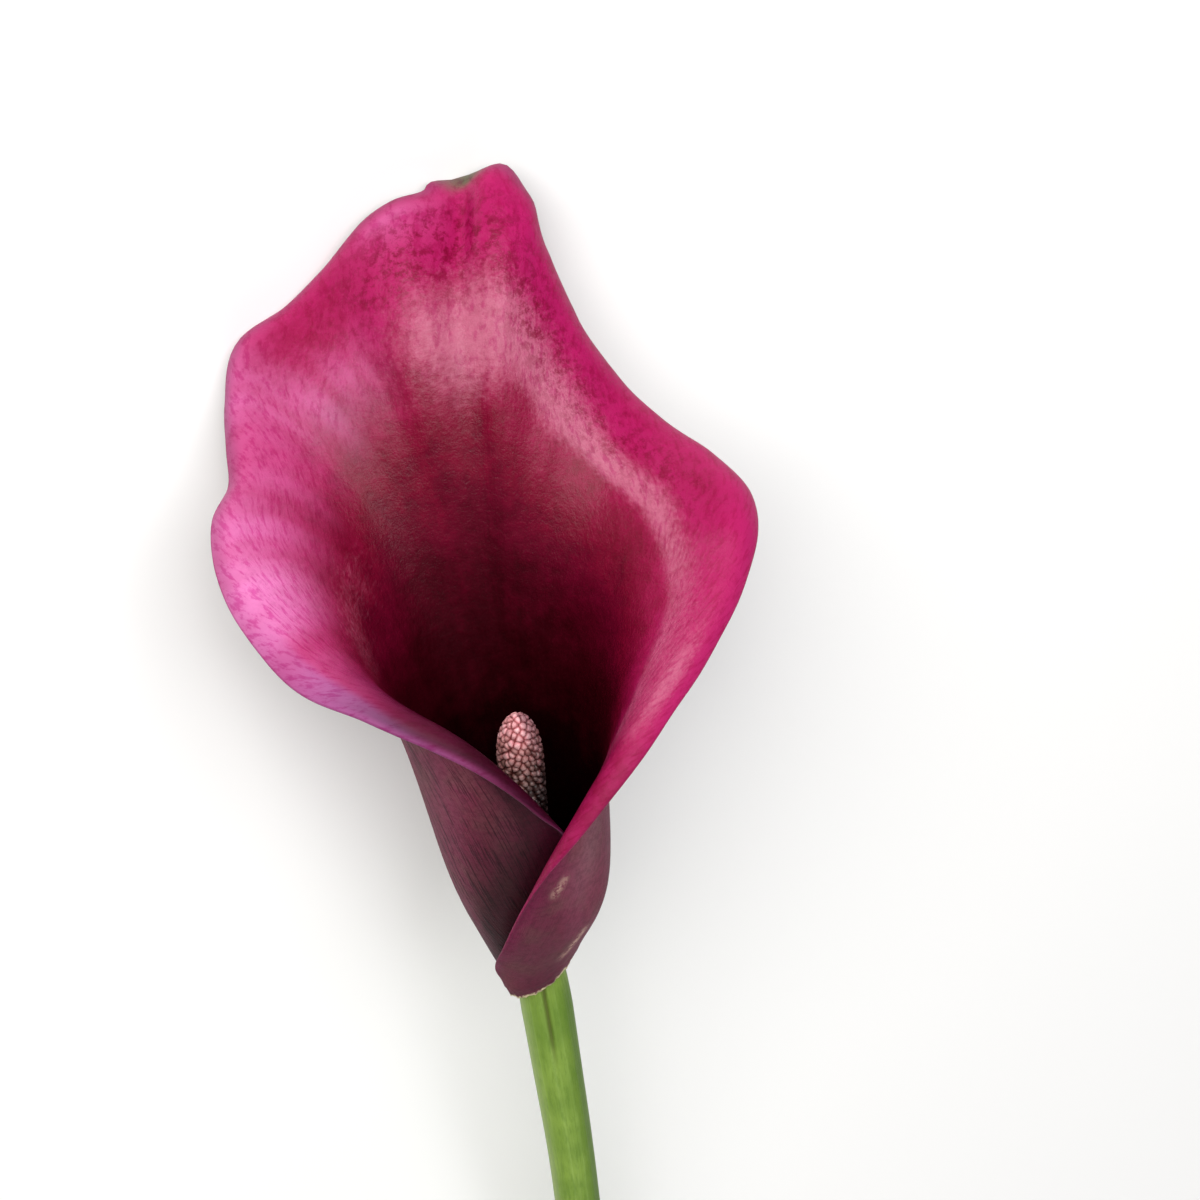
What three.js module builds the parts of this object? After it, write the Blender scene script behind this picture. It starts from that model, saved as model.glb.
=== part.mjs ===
// A picked arum lily flower: a spathe rolled into a funnel, the spadix in its throat, and the cut stem
// that carries them. It lies mouth up, on the back of the spathe and the cut end of the stem.
//
// The pieces are shaped in the flower's own frame, in millimetres: x to the right, y up the stem's axis
// from foot to tip, z out of the front, where the spathe's two margins cross. A turn is an angle about
// the stem's axis, in degrees, counted from the midrib at the back: rightwards is positive, so the front
// is at 180 and -180. The last group lays the flower down.

import * as THREE from "three";

const { clamp, degToRad, lerp, radToDeg, smoothstep } = THREE.MathUtils;

// ---- The spathe ----

// The crest of the rim, from the foot of the left margin, round the mouth, to the foot of the right one:
// [right, up, front, how early the wall climbs there (0 to 1), millimetres of lip rolled outwards past
// the crest, how far the lip rolls (degrees)].
const RIM = [
  [2.7, 11.4, 2.7, 0.0, 0.4, 5],
  [4.2, 17.0, 4.4, 0.0, 0.6, 5],
  [5.8, 25.0, 6.6, 0.0, 0.9, 5],
  [6.2, 33.5, 8.8, 0.1, 1.2, 30],
  [5.0, 42.2, 11.2, 0.3, 1.8, 60],
  [0.8, 52.0, 12.3, 0.6, 2.4, 80],
  [-5.4, 58.8, 11.4, 0.9, 3.0, 90],
  [-12.8, 63.2, 8.8, 1.0, 3.4, 85],
  [-19.2, 66.2, 5.2, 1.0, 3.8, 75],
  [-23.6, 69.2, 1.4, 1.0, 4.0, 65],
  [-26.6, 73.0, -3.0, 1.0, 4.2, 60],
  [-27.6, 76.4, -7.0, 1.0, 4.0, 60],
  [-26.8, 78.4, -11.0, 0.9, 4.0, 65],
  [-25.0, 79.7, -17.0, 0.8, 4.0, 70],
  [-24.8, 82.4, -22.5, 0.8, 4.2, 70],
  [-25.4, 85.2, -27.0, 0.8, 4.4, 65],
  [-23.6, 89.4, -31.0, 0.8, 4.4, 65],
  [-17.8, 92.0, -33.0, 0.7, 4.4, 65],
  [-13.4, 96.0, -34.5, 0.7, 4.4, 65],
  [-7.2, 99.6, -35.5, 0.6, 4.4, 65],
  [-2.2, 101.6, -37.0, 0.6, 4.4, 65],
  [2.6, 101.6, -39.0, 0.5, 4.0, 55],
  [5.7, 100.2, -41.0, 0.4, 4.5, 40],
  [8.4, 104.0, -39.0, 0.5, 5.0, 70],
  [11.8, 101.2, -36.5, 0.6, 6.0, 95],
  [12.9, 95.6, -33.5, 0.7, 7.0, 100],
  [15.0, 88.8, -30.5, 0.8, 7.0, 100],
  [18.2, 81.4, -27.0, 0.9, 7.0, 100],
  [23.2, 76.2, -22.5, 1.0, 6.5, 95],
  [28.8, 74.4, -17.5, 1.0, 5.6, 85],
  [31.4, 72.2, -12.0, 1.0, 4.8, 75],
  [31.4, 69.8, -7.0, 1.0, 4.2, 70],
  [29.6, 66.4, -2.5, 1.0, 3.8, 75],
  [26.2, 62.6, 1.5, 1.0, 3.6, 80],
  [21.8, 58.4, 5.0, 1.0, 3.4, 85],
  [16.4, 53.2, 8.4, 0.9, 3.2, 85],
  [11.6, 47.8, 10.8, 0.7, 2.8, 80],
  [7.2, 42.0, 12.6, 0.4, 2.4, 70],
  [2.8, 35.6, 12.8, 0.1, 1.5, 40],
  [-1.2, 28.5, 11.6, 0.0, 1.0, 20],
  [-4.4, 20.5, 9.0, 0.0, 0.8, 10],
  [-5.0, 12.5, 5.4, 0.0, 0.6, 5],
  [-4.65, 9.2, 3.9, 0.0, 0.5, 5],
  [-4.5, 7.0, 3.0, 0.0, 0.5, 5],
];
const TIP_STATION = 22;

const LEFT_MARGIN_TURN = -225; // where the left margin, the inner one, leaves the foot
const RIGHT_MARGIN_TURN = 240; // where the right margin, the outer one, leaves the foot
const VEIN_FAN = 1.8; // how strongly the veins crowd towards the midrib
const VEIN_SWEEP = 1.2; // how late a vein turns out to its place on the rim
const FLARE_POWER = 2.6; // how late the wall leaves the tube for the flare

const FOOT_HEIGHT = 8.4;
const FOOT_SLANT = 3; // the foot's edge is that much higher at its highest point, and lower opposite
const FOOT_HIGH_TURN = 85;
const FOOT_RADIUS = 4.25;
const TUBE_SWELL = 5.6; // growth in radius above the foot
const SWELL_HEIGHT = 13;
const SWELL_POWER = 1.7;
const TUBE_TAPER = 0.036; // further growth per millimetre of height
const WRAP_PITCH = 2.4; // gap between the centres of the overlapped layers
const WRAP_AT_FOOT = 0.4; // share of that gap at the foot
const WRAP_START = 4;
const WRAP_RISE = 20;
const TUBE_SHIFT = 0.8; // the tube stands that far to the right of the stem's axis
const SHIFT_START = 8;
const SHIFT_END = 20;

const WALL_FOOT = 0.95;
const WALL_RIM = 0.65;
const MARGIN_THINNING = 0.4; // share of the wall that is lost where the margins overlap
const THINNING_START = 0.55; // shares of the way from the tip to a margin between which it is lost
const THINNING_END = 0.8;

const RIM_STEPS = 84;
const VEIN_STEPS = 16;
const LIP_STEPS = 3;
const ARC_DIVISIONS = 40; // per rim station, for lengths along the rim
const SOFTENING = 18; // millimetres along the rim over which the throat evens out the rim's waves
const SOFTENING_START = 0.15; // share of a vein's length over which that grows from nothing
const PROFILE_SOFTENING = 3;
const LEAST_SOFTENING = 0.05; // steps of a row; less than this changes nothing
const SOFTENING_REACH = 3; // widths to each side that the average takes in

// ---- The spadix and the stem ----

const STEM_TOP = 11;
const SPADIX_GAP = 0.45;
const SPADIX_LENGTH = 39.5;
const SPADIX_RADIUS = 3.05;
const SPADIX_FOOT_RADIUS = 2.5;
const SPADIX_FOOT_SHARE = 0.15; // share of its length over which it widens from its foot
const SPADIX_LEAN = -3.9; // degrees, towards the right
const SPADIX_SIDES = 24;
const SPADIX_DOME_STEPS = 8;

// The stem's centre line and radius, from the top, hidden in the spathe's foot, to the cut end.
const STEM = [
  { at: [0.0, STEM_TOP, 0.0], radius: 2.6 },
  { at: [0.0, 10.0, 0.0], radius: 3.1 },
  { at: [0.0, 5.0, 0.0], radius: 3.45 },
  { at: [0.0, 0.0, 0.0], radius: 3.55 },
  { at: [-0.1, -12.0, 0.0], radius: 3.45 },
  { at: [-0.3, -30.0, -0.2], radius: 3.3 },
  { at: [-1.6, -70.0, -0.8], radius: 3.25 },
  { at: [-1.8, -115.0, -0.8], radius: 3.3 },
  { at: [-0.6, -155.0, 0.0], radius: 3.5 },
  { at: [1.0, -180.0, 0.8], radius: 3.65 },
];
const STEM_SIDES = 20;
const STEM_STEPS = 30;
const CUT_SLANT = 12; // degrees between the knife's cut and a square one

// ---- How the flower lies ----

const LAY_ROLL = 15.58; // degrees that it leans towards its left flap
const LAY_PITCH = 8.04; // degrees that the stem's axis rises from the cut end to the tip

const SPATHE_FINISH = { color: 0xa01f58, roughness: 0.5, metalness: 0 };
const SPADIX_FINISH = { color: 0xb98a86, roughness: 0.75, metalness: 0 };
const STEM_FINISH = { color: 0x72903a, roughness: 0.55, metalness: 0 };

// The height of the foot's slanting edge at a turn.
function footHeight(turn) {
  return FOOT_HEIGHT + FOOT_SLANT * Math.cos(degToRad(turn - FOOT_HIGH_TURN));
}

// The radius of the rolled tube at a height: it swells above the foot, and widens with the turn, so that
// the right margin passes outside the left one.
function tubeRadius(height, turn) {
  const risen = Math.max(height - footHeight(turn), 0);
  const swell = TUBE_SWELL * (1 - Math.exp(-((risen / SWELL_HEIGHT) ** SWELL_POWER)));
  const wrap = lerp(WRAP_AT_FOOT, 1, clamp((height - WRAP_START) / WRAP_RISE, 0, 1));
  return FOOT_RADIUS + swell + TUBE_TAPER * height + (WRAP_PITCH * wrap * turn) / 360;
}

// How far to the right the middle of the tube lies at a height.
function tubeMiddle(height) {
  return TUBE_SHIFT * smoothstep(height, SHIFT_START, SHIFT_END);
}

// A value carried on past the ends of a list, by turning the list round its end value.
function carriedOn(values, k) {
  const last = values.length - 1;
  if (k < 0) return 2 * values[0] - values[-k];
  if (k > last) return 2 * values[last] - values[2 * last - k];
  return values[k];
}

// The list evened out by a bell-shaped average of the given width, in steps of the list.
function softened(values, width) {
  if (width < LEAST_SOFTENING) return values.slice();
  const reach = Math.min(values.length - 1, Math.ceil(SOFTENING_REACH * width));
  return values.map((_, i) => {
    let sum = 0;
    let weights = 0;
    for (let k = -reach; k <= reach; k++) {
      const weight = Math.exp((-k * k) / (2 * width * width));
      sum += weight * carriedOn(values, i + k);
      weights += weight;
    }
    return sum / weights;
  });
}

// One column of the rim's stations, read between the stations.
function stationValue(place, column) {
  const k = Math.min(Math.floor(place), RIM.length - 2);
  return lerp(RIM[k][column], RIM[k + 1][column], place - k);
}

// The turns of a row of points, without jumps, with the tip's between -180 and 180.
function turnsOf(points, tip) {
  const turns = points.map((p) => radToDeg(Math.atan2(p.x - tubeMiddle(p.y), -p.z)));
  for (let i = 1; i < turns.length; i++) {
    turns[i] -= 360 * Math.round((turns[i] - turns[i - 1]) / 360);
  }
  const whole = 360 * Math.round(turns[tip] / 360);
  return turns.map((turn) => turn - whole);
}

// The rim at even steps: its crest, the lip beyond it, and where each vein leaves the foot.
function sampleRim() {
  const crest = new THREE.CatmullRomCurve3(RIM.map(([x, y, z]) => new THREE.Vector3(x, y, z)));
  crest.arcLengthDivisions = ARC_DIVISIONS * (RIM.length - 1);
  const lengths = crest.getLengths();
  const length = lengths.at(-1);
  const tipShare = lengths[ARC_DIVISIONS * TIP_STATION] / length;
  const shares = Array.from({ length: RIM_STEPS + 1 }, (_, i) => i / RIM_STEPS);
  const places = shares.map((share) => crest.getUtoTmapping(share));
  const points = places.map((t) => crest.getPoint(t));
  const step = length / RIM_STEPS;
  const column = (k) => {
    const values = places.map((t) => stationValue(t * (RIM.length - 1), k));
    return softened(values, PROFILE_SOFTENING / step);
  };
  const margins = shares.map((share) =>
    share < tipShare ? (share - tipShare) / tipShare : (share - tipShare) / (1 - tipShare),
  );
  return {
    step,
    points,
    margins,
    turns: turnsOf(points, Math.round(tipShare * RIM_STEPS)),
    footTurns: margins.map((m) => (m < 0 ? LEFT_MARGIN_TURN : RIGHT_MARGIN_TURN) * Math.abs(m) ** VEIN_FAN),
    climb: column(3),
    lip: column(4),
    curl: column(5),
  };
}

// The points of the sheet at one share of the veins' length, from 0 at the foot to 1 at the crest.
function sheetRow(rim, share) {
  const width = (SOFTENING * (1 - share) * Math.min(1, share / SOFTENING_START)) / rim.step;
  const turns = rim.turns.map((turn, i) => lerp(rim.footTurns[i], turn, share ** VEIN_SWEEP));
  const heights = rim.points.map((p, i) => {
    const climbed = share * (1 + rim.climb[i] * (1 - share));
    return lerp(footHeight(rim.footTurns[i]), p.y, climbed);
  });
  const flares = rim.points.map((p, i) => {
    const flare = Math.hypot(p.x - tubeMiddle(p.y), p.z) - tubeRadius(p.y, rim.turns[i]);
    return flare * share ** FLARE_POWER;
  });
  const evenTurns = softened(turns, width);
  const evenHeights = softened(heights, width);
  return softened(flares, width).map((flare, i) => {
    const height = evenHeights[i];
    const radius = tubeRadius(height, evenTurns[i]) + flare;
    const angle = degToRad(evenTurns[i]);
    const right = tubeMiddle(height) + radius * Math.sin(angle);
    return new THREE.Vector3(right, height, -radius * Math.cos(angle));
  });
}

// The direction of a row of points at one of them.
function rowDirection(row, i) {
  const before = row[Math.max(i - 1, 0)];
  const after = row[Math.min(i + 1, row.length - 1)];
  return after.clone().sub(before).normalize();
}

// A row of the lip, rolled outwards past the crest by a share of its length.
function lipRow(rim, crest, below, share) {
  return crest.map((point, i) => {
    const along = rowDirection(crest, i);
    const inward = along.clone().cross(point.clone().sub(below[i])).normalize();
    const outward = inward.clone().cross(along);
    const curl = degToRad(rim.curl[i]);
    const radius = rim.lip[i] / curl;
    const angle = curl * share;
    return point
      .clone()
      .addScaledVector(outward, radius * Math.sin(angle))
      .addScaledVector(inward, -radius * (1 - Math.cos(angle)));
  });
}

// The middle surface of the spathe's wall, as rows of points from the foot to the lip's edge.
function spatheSheet(rim) {
  const rows = [];
  for (let j = 0; j <= VEIN_STEPS; j++) rows.push(sheetRow(rim, j / VEIN_STEPS));
  const crest = rows[VEIN_STEPS];
  const below = rows[VEIN_STEPS - 1];
  for (let k = 1; k <= LIP_STEPS; k++) rows.push(lipRow(rim, crest, below, k / LIP_STEPS));
  return rows;
}

// The wall's thickness: it thins towards the rim and towards both margins.
function wallThickness(share, margin) {
  const plain = lerp(WALL_FOOT, WALL_RIM, Math.min(share, 1));
  return plain * (1 - MARGIN_THINNING * smoothstep(Math.abs(margin), THINNING_START, THINNING_END));
}

// The unit vector out of the inner face at a point of the sheet.
function innerNormal(rows, j, i) {
  const column = rows.map((row) => row[i]);
  return rowDirection(rows[j], i).cross(rowDirection(column, j)).normalize();
}

// The border of a grid of points, once round, as [row, place] pairs.
function gridBorder(rowCount, rowLength) {
  const border = [];
  for (let i = 0; i < rowLength; i++) border.push([0, i]);
  for (let j = 1; j < rowCount; j++) border.push([j, rowLength - 1]);
  for (let i = rowLength - 2; i >= 0; i--) border.push([rowCount - 1, i]);
  for (let j = rowCount - 2; j > 0; j--) border.push([j, 0]);
  return border;
}

// A closed body between two like grids of points: the front one faces out, and the back one behind it.
function shellBetween(front, back) {
  const rowCount = front.length;
  const rowLength = front[0].length;
  const positions = [...front.flat(), ...back.flat()].flatMap((p) => p.toArray());
  const index = [];
  const at = (j, i) => j * rowLength + i;
  const behind = (j, i) => rowCount * rowLength + at(j, i);
  for (let j = 0; j < rowCount - 1; j++) {
    for (let i = 0; i < rowLength - 1; i++) {
      index.push(at(j, i), at(j, i + 1), at(j + 1, i + 1), at(j, i), at(j + 1, i + 1), at(j + 1, i));
      index.push(behind(j, i), behind(j + 1, i + 1), behind(j, i + 1));
      index.push(behind(j, i), behind(j + 1, i), behind(j + 1, i + 1));
    }
  }
  const border = gridBorder(rowCount, rowLength);
  border.forEach((p, k) => {
    const q = border[(k + 1) % border.length];
    index.push(at(...p), behind(...p), behind(...q), at(...p), behind(...q), at(...q));
  });
  const geometry = new THREE.BufferGeometry();
  geometry.setAttribute("position", new THREE.Float32BufferAttribute(positions, 3));
  geometry.setIndex(index);
  geometry.computeVertexNormals();
  return geometry;
}

// The spathe: the sheet, thickened by half of the wall to each side.
function makeSpathe() {
  const rim = sampleRim();
  const rows = spatheSheet(rim);
  const face = (side) =>
    rows.map((row, j) =>
      row.map((point, i) => {
        const thickness = wallThickness(j / VEIN_STEPS, rim.margins[i]);
        return point.clone().addScaledVector(innerNormal(rows, j, i), (side * thickness) / 2);
      }),
    );
  const spathe = new THREE.Mesh(
    shellBetween(face(1), face(-1)),
    new THREE.MeshStandardMaterial(SPATHE_FINISH),
  );
  spathe.name = "spathe";
  return spathe;
}

// The spadix: a finger with a round top, standing on the stem and leaning a little.
function makeSpadix() {
  const profile = [
    new THREE.Vector2(0, 0),
    new THREE.Vector2(SPADIX_FOOT_RADIUS, 0),
    new THREE.Vector2(SPADIX_RADIUS, SPADIX_LENGTH * SPADIX_FOOT_SHARE),
  ];
  const domeFoot = SPADIX_LENGTH - SPADIX_RADIUS;
  for (let k = 0; k <= SPADIX_DOME_STEPS; k++) {
    const angle = (Math.PI / 2) * (k / SPADIX_DOME_STEPS);
    const radius = k < SPADIX_DOME_STEPS ? SPADIX_RADIUS * Math.cos(angle) : 0;
    profile.push(new THREE.Vector2(radius, domeFoot + SPADIX_RADIUS * Math.sin(angle)));
  }
  const spadix = new THREE.Mesh(
    new THREE.LatheGeometry(profile, SPADIX_SIDES),
    new THREE.MeshStandardMaterial(SPADIX_FINISH),
  );
  spadix.name = "spadix";
  spadix.position.y = STEM_TOP + SPADIX_GAP;
  spadix.rotation.z = degToRad(SPADIX_LEAN);
  return spadix;
}

// The rings of the stem, each square to the centre line, and the last one slanted by the knife.
function stemRings() {
  const line = new THREE.CatmullRomCurve3(STEM.map(({ at }) => new THREE.Vector3(...at)));
  const rings = [];
  for (let k = 0; k <= STEM_STEPS; k++) {
    const t = line.getUtoTmapping(k / STEM_STEPS);
    const place = t * (STEM.length - 1);
    const below = Math.min(Math.floor(place), STEM.length - 2);
    const radius = lerp(STEM[below].radius, STEM[below + 1].radius, place - below);
    const centre = line.getPoint(t);
    const down = line.getTangent(t);
    const side = new THREE.Vector3(1, 0, 0).projectOnPlane(down).normalize();
    const front = down.clone().cross(side);
    const slant = k === STEM_STEPS ? Math.tan(degToRad(CUT_SLANT)) : 0;
    const ring = [];
    for (let s = 0; s < STEM_SIDES; s++) {
      const angle = (2 * Math.PI * s) / STEM_SIDES;
      ring.push(
        centre
          .clone()
          .addScaledVector(side, radius * Math.cos(angle))
          .addScaledVector(front, radius * Math.sin(angle))
          .addScaledVector(down, slant * radius * Math.cos(angle)),
      );
    }
    rings.push(ring);
  }
  return rings;
}

// A closed body of stacked rings, with a flat face at each end.
function stackedRings(rings) {
  const sides = rings[0].length;
  const positions = rings.flat().flatMap((p) => p.toArray());
  const index = [];
  for (let k = 0; k < rings.length - 1; k++) {
    for (let s = 0; s < sides; s++) {
      const here = k * sides + s;
      const beside = k * sides + ((s + 1) % sides);
      index.push(here, beside, beside + sides, here, beside + sides, here + sides);
    }
  }
  const last = (rings.length - 1) * sides;
  for (let s = 1; s < sides - 1; s++) {
    index.push(0, s + 1, s);
    index.push(last, last + s, last + s + 1);
  }
  const geometry = new THREE.BufferGeometry();
  geometry.setAttribute("position", new THREE.Float32BufferAttribute(positions, 3));
  geometry.setIndex(index);
  geometry.computeVertexNormals();
  return geometry;
}

// The stem, from its top inside the spathe's foot to the cut.
function makeStem() {
  const stem = new THREE.Mesh(stackedRings(stemRings()), new THREE.MeshStandardMaterial(STEM_FINISH));
  stem.name = "stem";
  return stem;
}

// The whole flower, laid down, with the origin on the surface under the middle of its box.
function layDown(pieces) {
  const flower = new THREE.Group();
  flower.add(...pieces);
  flower.rotation.set(degToRad(LAY_PITCH), degToRad(-LAY_ROLL), 0);
  const box = new THREE.Box3().setFromObject(flower, true);
  flower.position.set(-(box.min.x + box.max.x) / 2, -(box.min.y + box.max.y) / 2, -box.min.z);
  const table = new THREE.Group();
  table.add(flower);
  return table;
}

export default layDown([makeSpathe(), makeSpadix(), makeStem()]);
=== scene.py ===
"""A picked arum lily flower, lying mouth up on a pale table.

The flower is shaped in its own frame, in millimetres: x to the right, y up the stem from foot to tip, z out
of the front, where the two margins of the spathe cross. A turn is an angle about the stem, in degrees,
counted from the midrib at the back. Lay brings what is shaped there to where the flower lies, in metres.
"""

import logging
import math
from dataclasses import dataclass
from enum import Enum

import bpy
import numpy as np
from mathutils import Matrix, Vector, kdtree


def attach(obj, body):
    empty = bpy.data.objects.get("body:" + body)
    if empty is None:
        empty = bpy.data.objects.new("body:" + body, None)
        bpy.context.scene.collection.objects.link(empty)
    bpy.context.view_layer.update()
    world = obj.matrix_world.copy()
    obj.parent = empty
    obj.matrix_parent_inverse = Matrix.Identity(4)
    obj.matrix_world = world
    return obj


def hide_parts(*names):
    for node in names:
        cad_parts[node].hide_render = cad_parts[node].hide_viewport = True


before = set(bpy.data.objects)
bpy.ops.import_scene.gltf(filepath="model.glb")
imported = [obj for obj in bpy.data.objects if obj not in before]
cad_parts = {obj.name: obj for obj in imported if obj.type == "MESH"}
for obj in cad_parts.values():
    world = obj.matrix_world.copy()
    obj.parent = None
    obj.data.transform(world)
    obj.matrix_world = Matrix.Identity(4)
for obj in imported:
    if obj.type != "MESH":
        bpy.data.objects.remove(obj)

Grid = np.ndarray
Socket = bpy.types.NodeSocket
Pair = tuple[float, float]

BODY = "root"
MM = 0.001
TINY = 1e-12
log = logging.getLogger("arum_lily")


class Slot(Enum):
    """The material slots of the flower's record."""

    SPATHE = "spathe_tissue"
    SPADIX = "spadix_florets"
    STEM = "stem_skin"


class Coat(Enum):
    """How a colour is laid over another one."""

    OVER = "MIX"
    STAIN = "MULTIPLY"


# ---- Shared sums ----


def unit(vectors: Grid) -> Grid:
    """The vectors at length one."""
    return vectors / np.maximum(np.linalg.norm(vectors, axis=-1, keepdims=True), TINY)


def ramp(values: Grid, start: float, end: float) -> Grid:
    """A smooth climb from 0 at start to 1 at end, whichever of the two is greater."""
    t = np.clip((values - start) / (end - start), 0, 1)
    return t * t * (3 - 2 * t)


def bell(values: Grid, centre: float, width: float) -> Grid:
    """A smooth bump of height one."""
    return np.exp(-(((values - centre) / width) ** 2))


def lengths_along(points: Grid, axis: int = 0) -> Grid:
    """The length of the way through points up to each of them, in one direction of their grid."""
    steps = np.linalg.norm(np.diff(points, axis=axis), axis=-1)
    return np.concatenate([np.zeros_like(steps.take([0], axis)), np.cumsum(steps, axis=axis)], axis=axis)


def softened(values: Grid, width: float) -> Grid:
    """Evens out a list with a bell-shaped average, carrying it on past its ends by turning it round them.

    Args:
        values: the list.
        width: the bell's width, in steps of the list.

    Returns:
        The evened list, as long as the first.
    """
    least, reach_in_widths = 0.05, 3
    if width < least:
        return values.copy()
    reach = min(len(values) - 1, math.ceil(reach_in_widths * width))
    before = 2 * values[0] - values[reach:0:-1]
    after = 2 * values[-1] - values[-2 : -reach - 2 : -1]
    weights = np.exp(-(np.arange(-reach, reach + 1) ** 2) / (2 * width * width))
    return np.convolve(np.concatenate([before, values, after]), weights / weights.sum(), mode="valid")


@dataclass(frozen=True)
class Waves:
    """Sine waves of unlike lengths laid over each other: their height and lengths in millimetres, and a seed
    that picks where each one starts."""

    height: float
    lengths: tuple[float, ...]
    seed: int

    def at(self, places: Grid) -> Grid:
        """Lays the waves over each other.

        Args:
            places: where they are read, in millimetres.

        Returns:
            Their height at each place, in millimetres.
        """
        starts = np.random.default_rng(self.seed).uniform(0, 2 * math.pi, len(self.lengths))
        turns = (2 * math.pi * places / length + start for length, start in zip(self.lengths, starts))
        return self.height * sum(np.sin(turn) for turn in turns) / math.sqrt(len(self.lengths))


@dataclass(frozen=True)
class Spot:
    """A soft-edged spot: its strength, and ramp or bell with its two numbers for how it fades in one measure
    and in another. Where it has no fade, it is as strong all the way."""

    strength: float
    u: tuple | None = None
    v: tuple | None = None

    def on(self, u: Grid, v: Grid | float = 0) -> Grid:
        """How strong the spot is.

        Args:
            u: the first measure.
            v: the second one.

        Returns:
            The strength at each place.
        """
        strength = self.strength
        for fade, values in ((self.u, u), (self.v, v)):
            if fade is not None:
                shape, first, second = fade
                strength = strength * shape(values, first, second)
        return strength


class SmoothLine:
    """A centripetal spline through points, as the flower's solid pieces use it."""

    def __init__(self, points: Grid, divisions: int = 40) -> None:
        """Keeps the points and measures the line.

        Args:
            points: what the line passes through, one row each.
            divisions: how finely each stretch between two points is measured.
        """
        self.points = np.asarray(points, float)
        self.fine = np.linspace(0, 1, divisions * (len(points) - 1) + 1)
        self.lengths = lengths_along(self.at(self.fine))

    def at(self, t: Grid) -> Grid:
        """Places on the line.

        Args:
            t: numbers from 0 to 1, even between the given points.

        Returns:
            The line's point for each of them.
        """
        p = self.points
        place = np.asarray(t, float) * (len(p) - 1)
        k = np.minimum(place.astype(int), len(p) - 2)
        w = (place - k)[:, None]
        longer = np.vstack([2 * p[0] - p[1], p, 2 * p[-1] - p[-2]])
        a, b, c, d = (longer[k + i] for i in range(4))
        ab, bc, cd = (np.sqrt(np.linalg.norm(q - r, axis=1))[:, None] for q, r in ((a, b), (b, c), (c, d)))
        leave = ((b - a) / ab - (c - a) / (ab + bc) + (c - b) / bc) * bc
        arrive = ((c - b) / bc - (d - b) / (bc + cd) + (d - c) / cd) * bc
        square = -3 * b + 3 * c - 2 * leave - arrive
        cube = 2 * b - 2 * c + leave + arrive
        return b + leave * w + square * w**2 + cube * w**3

    def even(self, steps: int) -> Grid:
        """The values of t that part the line into equal lengths."""
        return np.interp(np.linspace(0, self.lengths[-1], steps + 1), self.lengths, self.fine)

    def length_to(self, point: int) -> float:
        """The length of the line up to one of its given points."""
        return float(np.interp(point / (len(self.points) - 1), self.fine, self.lengths))


@dataclass(frozen=True)
class Lay:
    """How the flower lies: its roll towards the left flap and its pitch towards the tip, in degrees, how high
    the stem's flat top is in the flower's frame, and how near to it a corner counts, in millimetres."""

    roll: float = 15.58
    pitch: float = 8.04
    stem_top: float = 11
    hair: float = 0.05

    def turn(self) -> Grid:
        """The rotation from the flower's frame to the table's."""
        pitch, roll = math.radians(self.pitch), math.radians(-self.roll)
        return np.array(Matrix.Rotation(pitch, 3, "X") @ Matrix.Rotation(roll, 3, "Y"))

    def shift(self) -> Grid:
        """Finds where the flower lies on the table, from the solid stem's flat top.

        Returns:
            The place of the flower's own origin, in metres, before the flower is turned.
        """
        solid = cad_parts["stem"].data
        corners = np.array([vertex.co for vertex in solid.vertices]) @ self.turn()
        top = corners[corners[:, 1] > corners[:, 1].max() - self.hair * MM]
        middle = (top.min(axis=0) + top.max(axis=0)) / 2
        return (middle - [0, self.stem_top * MM, 0]) @ self.turn().T

    def place(self, points: Grid) -> Grid:
        """Brings points of the flower's frame to the table, in metres."""
        return (np.asarray(points) * MM) @ self.turn().T + self.shift()


# ---- Making meshes ----


def stand(name: str, data: bpy.types.ID) -> bpy.types.Object:
    """Puts a new object into the scene.

    Args:
        name: its name.
        data: its mesh, its light or its camera.

    Returns:
        The object.
    """
    made = bpy.data.objects.new(name, data)
    bpy.context.scene.collection.objects.link(made)
    return made


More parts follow.
